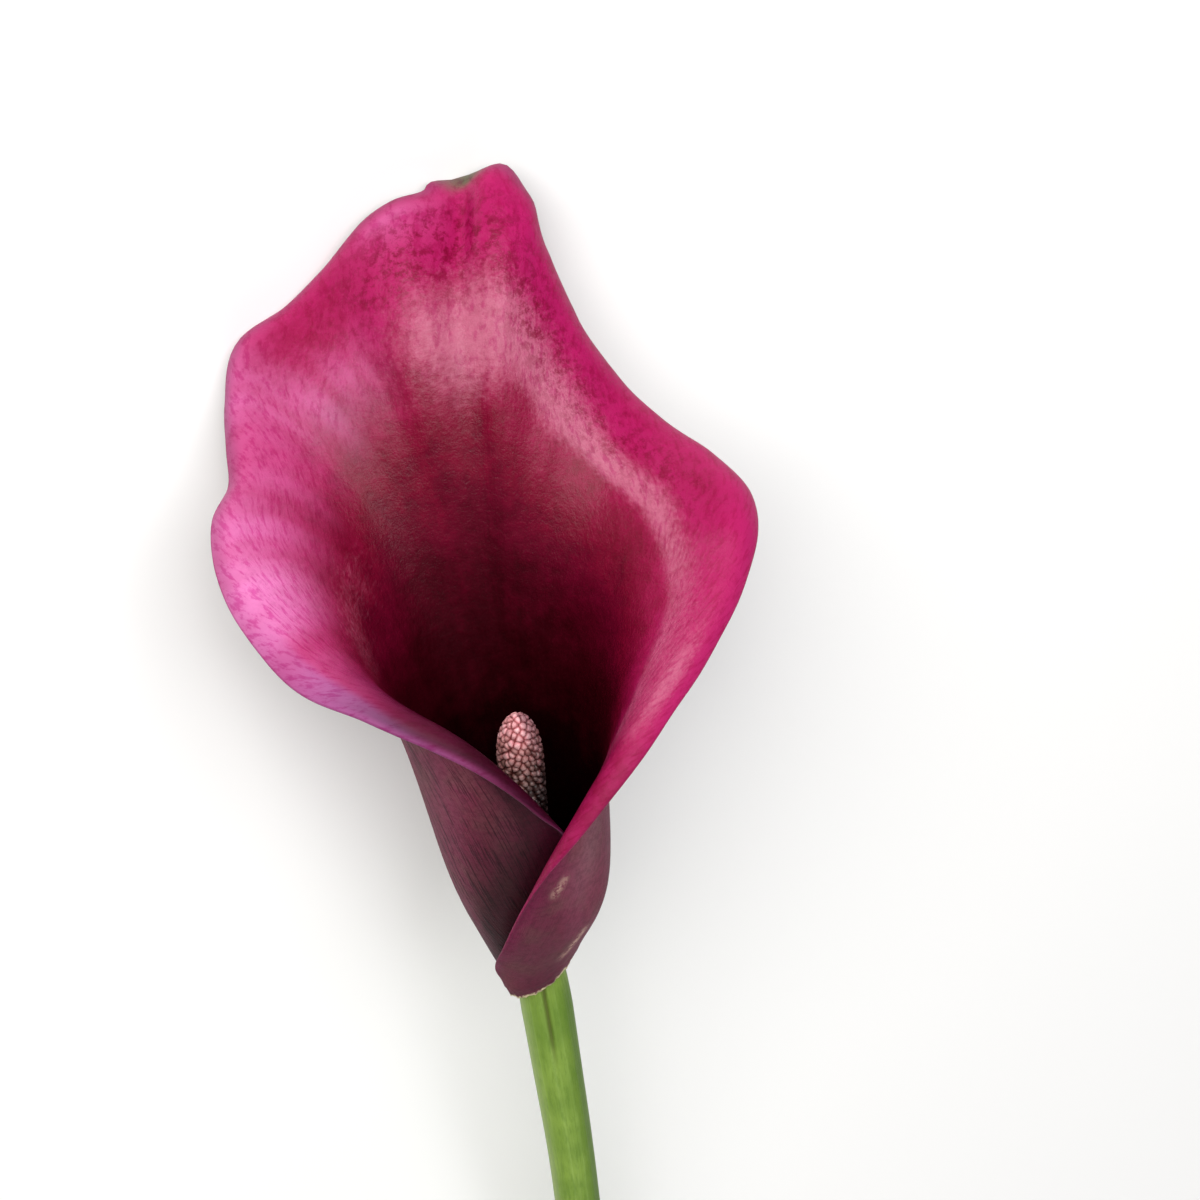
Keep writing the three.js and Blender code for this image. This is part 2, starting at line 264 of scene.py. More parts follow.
class MeshMaker:
    """Gathers grids of points into one mesh, with named values on its points."""

    def __init__(self, lay: Lay) -> None:
        """Starts an empty mesh.

        Args:
            lay: how the flower lies.
        """
        self.lay = lay
        self.points: list[Grid] = []
        self.values: dict[str, list[Grid]] = {}
        self.faces: list[tuple[int, ...]] = []
        self.slots: list[int] = []
        self.count = 0

    def add_points(self, points: Grid, **values: Grid) -> Grid:
        """Adds a grid of points.

        Args:
            points: rows of points in the flower's frame, in millimetres.
            values: one grid of numbers for each named value.

        Returns:
            The grid of the points' numbers in the mesh.
        """
        self.points.append(points.reshape(-1, 3))
        for name, grid in values.items():
            self.values.setdefault(name, []).append(np.broadcast_to(grid, points.shape[:-1]).ravel())
        numbers = self.count + np.arange(points[..., 0].size).reshape(points.shape[:-1])
        self.count += numbers.size
        return numbers

    def add_faces(self, numbers: Grid, slot: int = 0, closed: bool = False, flipped: bool = False) -> None:
        """Lays four-sided faces over a grid of point numbers.

        Args:
            numbers: the grid of point numbers.
            slot: the material slot of the faces.
            closed: whether each row's last point joins its first one.
            flipped: whether the faces look the other way.
        """
        if closed:
            numbers = np.hstack([numbers, numbers[:, :1]])
        quads = np.stack([numbers[:-1, :-1], numbers[:-1, 1:], numbers[1:, 1:], numbers[1:, :-1]], axis=-1)
        quads = quads.reshape(-1, 4)
        if flipped:
            quads = quads[:, ::-1]
        self.faces += [tuple(dict.fromkeys(quad)) for quad in quads.tolist()]
        self.slots += [slot] * len(quads)

    def make(self, name: str, finishes: list[bpy.types.Material]) -> bpy.types.Object:
        """Makes the object, smooth, in the scene.

        Args:
            name: the piece's name.
            finishes: its materials, in the order of its slots.

        Returns:
            The new object.
        """
        mesh = bpy.data.meshes.new(name)
        mesh.from_pydata(self.lay.place(np.vstack(self.points)).tolist(), [], self.faces)
        for key, grids in self.values.items():
            layer = mesh.attributes.new(key, "FLOAT", "POINT")
            layer.data.foreach_set("value", np.concatenate(grids).astype(np.float32))
        for finish in finishes:
            mesh.materials.append(finish)
        mesh.polygons.foreach_set("material_index", self.slots)
        mesh.polygons.foreach_set("use_smooth", [True] * len(self.faces))
        mesh.update()
        return stand(name, mesh)


# ---- Making finishes ----


def screen(colour: tuple[float, ...]) -> tuple[float, float, float, float]:
    """Turns screen values from 0 to 255 into the linear colour that a shader takes."""
    linear = [(c / 255 / 12.92) if c <= 10.31475 else ((c / 255 + 0.055) / 1.055) ** 2.4 for c in colour]
    return (*linear, 1)


@dataclass(frozen=True)
class Noise:
    """Cloudy noise: one scale in the object's own space, or two where it is stretched along the veins."""

    scale: float | Pair
    detail: float
    roughness: float


class Bench:
    """A material on the bench: its node tree, and the colour that has been laid on so far."""

    def __init__(self, name: str, colour: tuple | None = None) -> None:
        """Starts a material.

        Args:
            name: the finish's name.
            colour: its ground, in screen values from 0 to 255.
        """
        self.material = bpy.data.materials.new(name)
        self.material.use_nodes = True
        self.nodes = self.material.node_tree.nodes
        self.shader = self.nodes["Principled BSDF"]
        self.object_space = self.nodes.new("ShaderNodeTexCoord").outputs["Object"]
        self.colour: Socket | tuple | None = colour

    def feed(self, socket: Socket, value: Socket | float | tuple[float, ...]) -> None:
        """Joins an output to a socket, or sets the socket to a plain value.

        Args:
            socket: the socket.
            value: the output or the plain value.
        """
        if isinstance(value, bpy.types.NodeSocket):
            self.material.node_tree.links.new(value, socket)
        else:
            socket.default_value = value

    def node(self, kind: str, inputs: tuple | dict = (), **settings: str) -> bpy.types.Node:
        """Adds a node.

        Args:
            kind: what it is.
            inputs: what goes into its sockets, in their order or by their names.
            settings: its own settings.

        Returns:
            The node.
        """
        node = self.nodes.new(kind)
        for name, setting in settings.items():
            setattr(node, name, setting)
        for key, value in inputs.items() if isinstance(inputs, dict) else enumerate(inputs):
            self.feed(node.inputs[key], value)
        return node

    def value(self, name: str) -> Socket:
        """A named value of the mesh's points."""
        return self.node("ShaderNodeAttribute", attribute_name=name).outputs["Fac"]

    def sum(self, operation: str, *numbers: Socket | float) -> Socket:
        """The result of one operation on up to three numbers."""
        return self.node("ShaderNodeMath", numbers, operation=operation).outputs[0]

    def times(self, a: Socket, b: Socket | float) -> Socket:
        """The product of two numbers."""
        return self.sum("MULTIPLY", a, b)

    def climb(self, value: Socket, low: float, high: float, bottom: float = 0, top: float = 1) -> Socket:
        """A smooth climb from bottom, where value is low, to top, where it is high."""
        inputs = value, low, high, bottom, top
        return self.node("ShaderNodeMapRange", inputs, interpolation_type="SMOOTHSTEP").outputs["Result"]

    def grain(self, noise: Noise, across: Socket | None = None, along: Socket | None = None) -> Socket:
        """Reads cloudy noise.

        Args:
            noise: how fine it is.
            across: the first of the two measures that stretched noise follows.
            along: the second one.

        Returns:
            The noise, around one half.
        """
        where, scale = self.object_space, noise.scale
        if across is not None:
            plane = map(self.times, (across, along), noise.scale)
            where, scale = self.node("ShaderNodeCombineXYZ", tuple(plane)).outputs[0], 1
        inputs = {"Vector": where, "Scale": scale, "Detail": noise.detail, "Roughness": noise.roughness}
        return self.node("ShaderNodeTexNoise", inputs).outputs["Fac"]

    def stirred(self, value: Socket, *noises: tuple[Socket, float]) -> Socket:
        """Adds noises to a value.

        Args:
            value: the value.
            noises: the noises, each with its strength.

        Returns:
            The unsteady value.
        """
        for noise, strength in noises:
            value = self.sum("MULTIPLY_ADD", self.sum("SUBTRACT", noise, 0.5), strength, value)
        return value

    def run(self, value: Socket, stops: tuple[tuple[float, tuple], ...]) -> None:
        """Grounds the finish with a run of colours.

        Args:
            value: what picks the colour.
            stops: places from 0 to 1, each with its colour in screen values from 0 to 255.
        """
        node = self.node("ShaderNodeValToRGB", (value,))
        elements = node.color_ramp.elements
        while len(elements) < len(stops):
            elements.new(0.5)
        for element, (place, colour) in zip(elements, stops):
            element.position = place
            element.color = screen(colour)
        self.colour = node.outputs["Color"]

    def lay(self, share: Socket | float, colour: tuple, coat: Coat = Coat.OVER) -> None:
        """Lays a colour over what is there.

        Args:
            share: how much of it shows.
            colour: the colour, in screen values from 0 to 255.
            coat: how the two are joined.
        """
        node = self.node("ShaderNodeMix", data_type="RGBA", blend_type=coat.value)
        for name, value in (("Factor_Float", share), ("A_Color", self.colour), ("B_Color", colour)):
            socket = next(s for s in node.inputs if s.identifier == name)
            self.feed(socket, screen(value) if isinstance(value, tuple) else value)
        self.colour = next(s for s in node.outputs if s.identifier == "Result_Color")

    def emboss(self, *layers: tuple[Socket, float]) -> None:
        """Gives the surface its relief.

        Args:
            layers: what stands out, each with its depth in millimetres.
        """
        below = None
        for height, depth in layers:
            inputs = {"Strength": 1, "Distance": depth * MM, "Height": height}
            inputs |= {"Normal": below} if below else {}
            below = self.node("ShaderNodeBump", inputs).outputs["Normal"]
        self.feed(self.shader.inputs["Normal"], below)

    def finish(self, roughness: Socket | float, specular: float) -> bpy.types.Material:
        """Joins the colour and the gloss to the surface shader.

        Args:
            roughness: how dull the surface is.
            specular: how strongly it mirrors.

        Returns:
            The finished material.
        """
        colour = screen(self.colour) if isinstance(self.colour, tuple) else self.colour
        self.feed(self.shader.inputs["Base Color"], colour)
        self.feed(self.shader.inputs["Roughness"], roughness)
        self.feed(self.shader.inputs["Specular IOR Level"], specular)
        return self.material


@dataclass(frozen=True)
class InnerFace:
    """The velvety inside of the spathe, from the near-black throat to the magenta rim."""

    run: tuple = (
        (0.10, (5, 0, 0)),
        (0.20, (22, 0, 1)),
        (0.27, (40, 0, 6)),
        (0.33, (52, 1, 11)),
        (0.40, (72, 1, 20)),
        (0.47, (93, 2, 31)),
        (0.53, (112, 5, 38)),
        (0.60, (130, 10, 52)),
        (0.67, (152, 16, 70)),
        (0.75, (168, 22, 88)),
        (1.00, (187, 24, 100)),
    )
    run_end: float = 1.2
    speckle: tuple = (120, 0, 40)
    # painted sheen: the pale satin band of reflected light on the inner wall
    painted_sheen: tuple = (196, 112, 138)
    deep: tuple = (142, 6, 58)
    mauve: tuple = (128, 66, 104)
    # violet, partly painted highlight: the rolled edge of the lower left lip where the light catches it
    lilac_and_painted_highlight: tuple = (172, 96, 154)
    # pink, partly painted sheen: the paler wash where the light falls on the left flap and by the tip
    pink: tuple = (230, 134, 196)
    mottling: tuple = (230, 140, 206)
    tip_green: tuple = (96, 98, 70)
    shade: tuple = (60, 16, 60)
    edge: tuple = (110, 22, 70)
    streaks: Noise = Noise((0.5, 0.05), 4, 0.6)
    folds: Noise = Noise((0.12, 0.03), 2, 0.5)
    crumbs: Noise = Noise((0.9, 1.5), 3, 0.65)
    mottle: Noise = Noise((0.7, 0.42), 6, 0.68)
    clouds: Noise = Noise(170, 4, 0.6)
    blots: Noise = Noise(520, 4, 0.7)
    specks: Noise = Noise(700, 5, 0.8)
    velvet: Noise = Noise(3200, 2, 0.5)

    def make(self) -> bpy.types.Material:
        """Makes the finish: the run of colours, what lies over it, and the relief.

        Returns:
            The material.
        """
        b = Bench("spathe_inside")
        reach, along, vein, painted_sheen = (b.value(name) for name in ("reach", "along", "vein", "painted_sheen"))
        streaks, folds = (b.grain(noise, along, vein) for noise in (self.streaks, self.folds))
        crumbs, mottle = (b.grain(noise, b.value("across"), vein) for noise in (self.crumbs, self.mottle))
        clouds, blots, specks, velvet = map(b.grain, (self.clouds, self.blots, self.specks, self.velvet))
        unsteady = (streaks, 0.05), (folds, 0.09), (clouds, 0.22), (blots, 0.16), (velvet, 0.07)
        b.run(b.sum("DIVIDE", b.stirred(b.value("warmth"), *unsteady), self.run_end), self.run)
        # a paler pink, partly painted sheen, over the left flap and near the tip
        b.lay(b.times(b.value("pink"), b.climb(folds, 0.32, 0.66, 0.3, 1)), self.pink)
        # painted sheen: a ragged pale band laid into the colour where the light glances off the inner wall
        ragged = b.stirred(painted_sheen, (crumbs, 0.8), (clouds, 0.4), (streaks, 0.12))
        b.lay(b.climb(ragged, 0.15, 1.05, 0, 0.75), self.painted_sheen)
        b.lay(b.times(b.value("deep"), b.climb(blots, 0.35, 0.6, 0.4, 0.8)), self.deep)
        b.lay(b.value("mauve"), self.mauve)
        b.lay(b.times(b.climb(specks, 0.46, 0.6, 0, 0.75), b.value("speckled")), self.speckle)
        b.lay(b.value("green"), self.tip_green)
        # violet, partly painted highlight, on the lower left lip's rolled edge
        b.lay(b.value("lilac_and_painted_highlight"), self.lilac_and_painted_highlight)
        # painted shade (dusk): the lower lips, and the wall below the left one, darkened where they turn away
        # from the light
        b.lay(b.value("dusk"), self.shade, Coat.STAIN)
        mottled = b.times(b.climb(mottle, 0.47, 0.62), b.climb(reach, 0.5, 0.9, 0.25, 0.75))
        b.lay(mottled, self.mottling, Coat.STAIN)
        b.lay(b.climb(reach, 1.19, 1.2, 0, 0.3), self.edge)
        # the crumbly relief shows most under the painted sheen
        crusted = b.times(crumbs, b.climb(painted_sheen, 0, 0.6, 0.12, 1))
        b.emboss((velvet, 0.03), (crusted, 0.14), (blots, 0.12), (mottle, 0.1), (streaks, 0.04))
        dull = b.sum("MULTIPLY_ADD", clouds, 0.14, b.climb(reach, 0.98, 1.08, 0.25, 0.45))
        return b.finish(roughness=dull, specular=0.16)


@dataclass(frozen=True)
class OuterFace:
    """The dull outside of the spathe: dusky purple, streaked along the veins, greyish green in patches and at
    the tip.
    """

    dusk: tuple = (118, 44, 70)
    vein: tuple = (54, 6, 28)
    grey_green: tuple = (112, 76, 74)
    red: tuple = (134, 38, 66)
    rim: tuple = (132, 24, 76)
    shade: tuple = (74, 26, 46)
    lilac_and_painted_highlight: tuple = (170, 92, 142)
    # paler, greyish patches on the outside
    paler_patch: tuple = (138, 92, 104)
    torn: tuple = (214, 200, 158)
    scar: tuple = (206, 168, 152)
    wide: Noise = Noise((0.12, 0.02), 3, 0.5)
    veins: Noise = Noise((0.72, 0.14), 5, 0.62)
    clouds: Noise = Noise(190, 4, 0.6)
    fine: Noise = Noise(1300, 4, 0.65)

    def make(self) -> bpy.types.Material:
        """Makes the finish: clouds and streaks, what lies over them, and the relief.

        Returns:
            The material.
        """
        b = Bench("spathe_outside", self.dusk)
        reach, vein = b.value("reach"), b.value("vein")
        wide = b.grain(self.wide, b.value("along"), vein)
        veins = b.grain(self.veins, b.value("across"), vein)
        clouds, fine = b.grain(self.clouds), b.grain(self.fine)
        b.lay(b.climb(clouds, 0.42, 0.66, 0, 0.5), self.grey_green)
        b.lay(b.climb(wide, 0.45, 0.7, 0, 0.35), self.red)
        veined = b.climb(b.value("margin"), 0.25, 0.6, 0.75, 0.25)
        b.lay(b.times(veined, b.climb(veins, 0.51, 0.6)), self.vein)
        b.lay(b.value("blush"), self.red)
        b.lay(b.climb(reach, 0.78, 1.1, 0, 0.8), self.rim)
        # paler, greyish patches on the wrap and low on the left
        b.lay(b.value("paler_patch"), self.paler_patch)
        b.lay(b.value("green"), self.grey_green)
        b.lay(b.climb(fine, 0.42, 0.62, 0, 0.3), self.vein)
        b.lay(b.times(b.value("scar"), b.climb(fine, 0.38, 0.55, 0, 0.8)), self.scar)
        # painted shade: the outside darkened under the overhanging lip, beside the wrap's edge and low on the
        # right
        b.lay(b.value("painted_overhang_shade"), self.shade, Coat.STAIN)
        # violet, partly painted highlight, on the outside of the lower left lip's rolled edge
        b.lay(b.value("lilac_and_painted_highlight"), self.lilac_and_painted_highlight)
        b.lay(b.climb(b.stirred(vein, (fine, 1.6)), 0.1, 0.5, 0.9, 0), self.torn)
        b.emboss((fine, 0.06), (veins, 0.12))
        return b.finish(roughness=b.sum("MULTIPLY_ADD", clouds, 0.2, 0.5), specular=0.12)


@dataclass(frozen=True)
class FloretFinish:
    """The spadix's florets: pink at the top, browner below, with dark gaps, painted highlights on their round
    tops and painted shade on the far side.
    """

    run: tuple = (
        (0, (84, 76, 40)),
        (0.5, (58, 34, 28)),
        (0.7, (56, 32, 30)),
        (0.8, (114, 76, 68)),
        (0.9, (206, 138, 138)),
        (1, (246, 170, 178)),
    )
    gap: tuple = (148, 78, 76)
    # pale: painted highlight on each floret's round top
    pale: tuple = (250, 222, 218)
    # painted shade: the tint that darkens the florets on the side away from the light
    far: tuple = (136, 128, 136)
    fine: Noise = Noise(1800, 3, 0.6)

    def make(self) -> bpy.types.Material:
        """Makes the finish: the run of colours, painted highlights on the florets' tops, dark gaps and
        painted shade on the far side.

        Returns:
            The material.
        """
        b = Bench("florets")
        bead, tint, fine = b.value("bead"), b.value("tint"), b.grain(self.fine)
        b.run(b.stirred(b.value("rise"), (tint, 0.12)), self.run)
        # painted highlight on the florets' round tops
        b.lay(b.times(b.climb(bead, 0.7, 1, 0, 0.4), tint), self.pale)
        b.lay(b.climb(fine, 0.4, 0.7, 0, 0.35), self.gap, Coat.STAIN)
        b.lay(b.climb(bead, 0.05, 0.7, 0.5, 0), self.gap, Coat.STAIN)
        b.lay(b.climb(b.value("crown"), 0, 0.9, 0.85, 0), self.gap, Coat.STAIN)
        # painted shade on the side of the spadix away from the light
        b.lay(b.value("painted_far_side_shade"), self.far, Coat.STAIN)
        b.emboss((fine, 0.04))
        return b.finish(roughness=b.sum("MULTIPLY_ADD", fine, 0.2, 0.32), specular=0.4)


@dataclass(frozen=True)
class StemSkin:
    """The stem's smooth green skin, with fine pale lines along it."""

    green: tuple = (128, 157, 60)
    pale: tuple = (144, 172, 80)
    # the colour of the painted light down the stem's left side
    painted_light_grey: tuple = (152, 174, 104)
    deep: tuple = (80, 115, 26)
    # the colour of the painted shade in the crease under the spathe's front
    crease: tuple = (74, 78, 26)
    lines: Noise = Noise((0.09, 0.012), 5, 0.6)
    blots: Noise = Noise((0.1, 0.25), 5, 0.7)
    clouds: Noise = Noise(90, 3, 0.5)
    fine: Noise = Noise(1500, 2, 0.5)

    def make(self) -> bpy.types.Material:
        """Makes the finish: lines and blots, the long stripes, and the relief.

        Returns:
            The material.
        """
        b = Bench("stem_green", self.green)
        turn, length = b.value("turn"), b.value("length")
        lines, blots = (b.grain(noise, turn, length) for noise in (self.lines, self.blots))
        clouds, fine = b.grain(self.clouds), b.grain(self.fine)
        b.lay(b.climb(lines, 0.45, 0.7), self.pale)
        b.lay(b.climb(blots, 0.46, 0.64, 0, 0.4), self.deep)
        b.lay(b.climb(clouds, 0.4, 0.7, 0, 0.5), self.deep)
        b.lay(b.value("shaded"), self.deep)
        # painted light: a paler stripe down the stem's left side, where the light falls
        b.lay(b.value("painted_light_strip"), self.painted_light_grey)
        # painted shade in the crease under the spathe's front
        b.lay(b.value("crease"), self.crease)
        b.emboss((fine, 0.03), (lines, 0.25))
        return b.finish(roughness=b.sum("MULTIPLY_ADD", fine, 0.14, 0.46), specular=0.2)


@dataclass(frozen=True)
class CutFlesh:
    """The knife's cut through the stem: pale wet flesh with darker strands."""

    flesh: tuple = (206, 214, 158)
    strand: tuple = (146, 156, 84)
    skin: tuple = (112, 142, 58)
    strand_scale: float = 1900
    fine: Noise = Noise(2400, 2, 0.6)

    def make(self) -> bpy.types.Material:
        """Makes the finish: dots where the strands are cut, and the skin round them.

        Returns:
            The material.
        """
        b = Bench("stem_flesh", self.flesh)
        dots = b.node("ShaderNodeTexVoronoi", {"Vector": b.object_space, "Scale": self.strand_scale})
        b.lay(b.climb(dots.outputs["Distance"], 0.12, 0.34, 0.8, 0), self.strand)
        b.lay(b.climb(b.value("out"), 0.86, 1, 0, 0.9), self.skin)
        b.emboss((b.grain(self.fine), 0.06))
        return b.finish(roughness=0.3, specular=0.5)


@dataclass(frozen=True)
class TableWhite:
    """The table top's dull white."""

    white: tuple = (243, 243, 242)
    roughness: float = 0.6
    specular: float = 0.1

    def make(self) -> bpy.types.Material:
        """Makes the finish."""
        return Bench("table_white", self.white).finish(self.roughness, self.specular)


# ---- The spathe ----

# The crest of the rim, from the foot of the left margin, round the mouth, to the foot of the right one:
# right, up, front, how early the wall climbs there, millimetres of lip past the crest, degrees it rolls.
RIM = (
    (2.7, 11.4, 2.7, 0, 0.4, 5),
    (4.2, 17, 4.4, 0, 0.6, 5),
    (5.8, 25, 6.6, 0, 0.9, 5),
    (6.2, 32.8, 8.9, 0.1, 1, 30),
    (5, 41.3, 11.3, 0.3, 1.5, 60),
    (0.8, 50.9, 12.4, 0.6, 2.2, 80),
    (-5.4, 58.9, 11.4, 0.9, 3.9, 90),
    (-12.8, 63.5, 8.8, 1, 3.3, 85),
    (-19.2, 66.2, 5.2, 1, 3.8, 75),
    (-22.9, 69.4, 1.4, 1, 4, 65),
    (-25.5, 73, -3, 1, 4.2, 60),
    (-26.9, 76.4, -7, 1, 4, 60),
    (-26.8, 78.4, -11, 0.9, 4, 65),
    (-25, 79.7, -17, 0.8, 4, 70),
    (-24.8, 82.4, -22.5, 0.8, 4.2, 70),
    (-25.4, 85.2, -27, 0.8, 4.4, 65),
    (-23.6, 89.4, -31, 0.8, 4.4, 65),
    (-17.8, 92, -33, 0.7, 4.4, 65),
    (-13.4, 95.3, -34.5, 0.7, 4.4, 65),
    (-6.7, 100.5, -35.8, 0.6, 4.4, 65),
    (-2.4, 102.1, -37.2, 0.6, 4.4, 65),
    (2.2, 101.7, -39, 0.5, 3.8, 55),
    (5, 101.7, -40.8, 0.4, 4.5, 42),
    (8.1, 103.5, -39, 0.5, 5, 70),
    (11.1, 101.3, -36.5, 0.6, 6, 95),
    (12.9, 95.6, -33.5, 0.7, 7, 100),
    (15, 88.8, -30.5, 0.8, 7, 100),
    (18.2, 81.4, -27, 0.9, 7, 100),
    (23.2, 76.2, -22.5, 1, 6.5, 95),
    (28.4, 73.7, -17.5, 1, 5.6, 85),
    (31.4, 72.2, -12, 1, 4.8, 75),
    (31.4, 69.8, -7, 1, 4.2, 70),
    (29.6, 66.4, -2.5, 1, 3.8, 75),
    (26.2, 62.6, 1.5, 1, 3.6, 80),
    (21.8, 58.4, 5, 1, 3.4, 85),
    (16.4, 53.2, 8.4, 0.9, 3.5, 95),
    (11.6, 47.8, 10.8, 0.7, 3.8, 115),
    (7.3, 42, 12.6, 0.4, 3.1, 122),
    (3.8, 35.8, 12.73, 0.1, 1.9, 100),
    (0.4, 28.8, 11.9, 0, 0.9, 50),
    (-3, 20.6, 9.5, 0, 0.5, 10),
    (-5, 12.5, 5, 0, 0.6, 5),
    (-4.65, 9.2, 3.6, 0, 0.5, 5),
    (-4.5, 7, 2.8, 0, 0.5, 5),
)
TIP_STATION = 22


@dataclass
class RimLine:
    """The rim at even steps, one number or point for each vein that ends there."""

    step: float
    points: Grid
    margins: Grid  # -1 at the left margin's foot, 0 at the tip, 1 at the right margin's foot
    along: Grid  # millimetres along the rim from the tip, to the right
    turns: Grid
    foot_turns: Grid
    climb: Grid
    lip: Grid
    curl: Grid

    def across(self, rows: Grid) -> Grid:
        """How far each point of the rows lies from the midrib along its row, in millimetres, to the right."""
        run, tip = lengths_along(rows, axis=1), int(np.argmin(np.abs(self.along)))
        return run - run[:, tip : tip + 1]


@dataclass(frozen=True)
class Tube:
    """The rolled tube that the spathe's wall follows before it flares. Millimetres and degrees."""

    foot_height: float = 8.4
    foot_slant: float = 3
    foot_high_turn: float = 85
    foot_radius: float = 4.25
    swell: float = 5.6
    swell_height: float = 13
    swell_power: float = 1.7
    taper: float = 0.036
    wrap_pitch: float = 2.4
    wrap_at_foot: float = 0.4
    wrap_start: float = 4
    wrap_rise: float = 20
    shift: float = 0.8
    shift_from: Pair = (8, 20)
    bulge: Spot = Spot(0.95, (bell, 115, 40), (bell, 21, 7.5))
    waist: Spot = Spot(0.8, (bell, 100, 40), (bell, 40, 9))

    def foot(self, turn: Grid) -> Grid:
        """The height of the foot's slanting edge at a turn."""
        return self.foot_height + self.foot_slant * np.cos(np.radians(turn - self.foot_high_turn))

    def radius(self, height: Grid, turn: Grid) -> Grid:
        """The tube's radius: it swells above the foot and widens with the turn.

        Args:
            height: how high up.
            turn: how far round.

        Returns:
            The radius there.
        """
        risen = np.maximum(height - self.foot(turn), 0)
        swell = self.swell * (1 - np.exp(-((risen / self.swell_height) ** self.swell_power)))
        share = np.clip((height - self.wrap_start) / self.wrap_rise, 0, 1)
        wrap = self.wrap_at_foot + (1 - self.wrap_at_foot) * share
        plain = self.foot_radius + swell + self.taper * height + self.wrap_pitch * wrap * turn / 360
        return plain + self.bulge.on(turn, height) - self.waist.on(turn, height)

    def middle(self, height: Grid) -> Grid:
        """How far to the right the tube's middle lies at a height."""
        return self.shift * ramp(height, *self.shift_from)

    def points(self, radius: Grid, height: Grid, turn: Grid) -> Grid:
        """Finds points round the tube.

        Args:
            radius: how far from the tube's middle.
            height: how high up.
            turn: how far round.

        Returns:
            The points.
        """
        angle, middle = np.radians(turn), self.middle(height)
        sides = middle + radius * np.sin(angle), height, -radius * np.cos(angle)
        return np.stack(np.broadcast_arrays(*sides), axis=-1)


@dataclass(frozen=True)
class Scar:
    """A pale scrape on the outside, along a short line. Millimetres in the flower's frame."""

    start: tuple[float, float, float]
    end: tuple[float, float, float]
    width: float

    def on(self, points: Grid) -> Grid:
        """How strongly the scrape shows.

        Args:
            points: where it is looked for.

        Returns:
            A number from 0 to 1 for each point.
        """
        start, line = np.array(self.start), np.subtract(self.end, self.start)
        share = np.clip(((points - start) @ line) / (line @ line), 0, 1)
        away = np.linalg.norm(points - start - share[..., None] * line, axis=-1)
        return bell(away, 0, self.width)


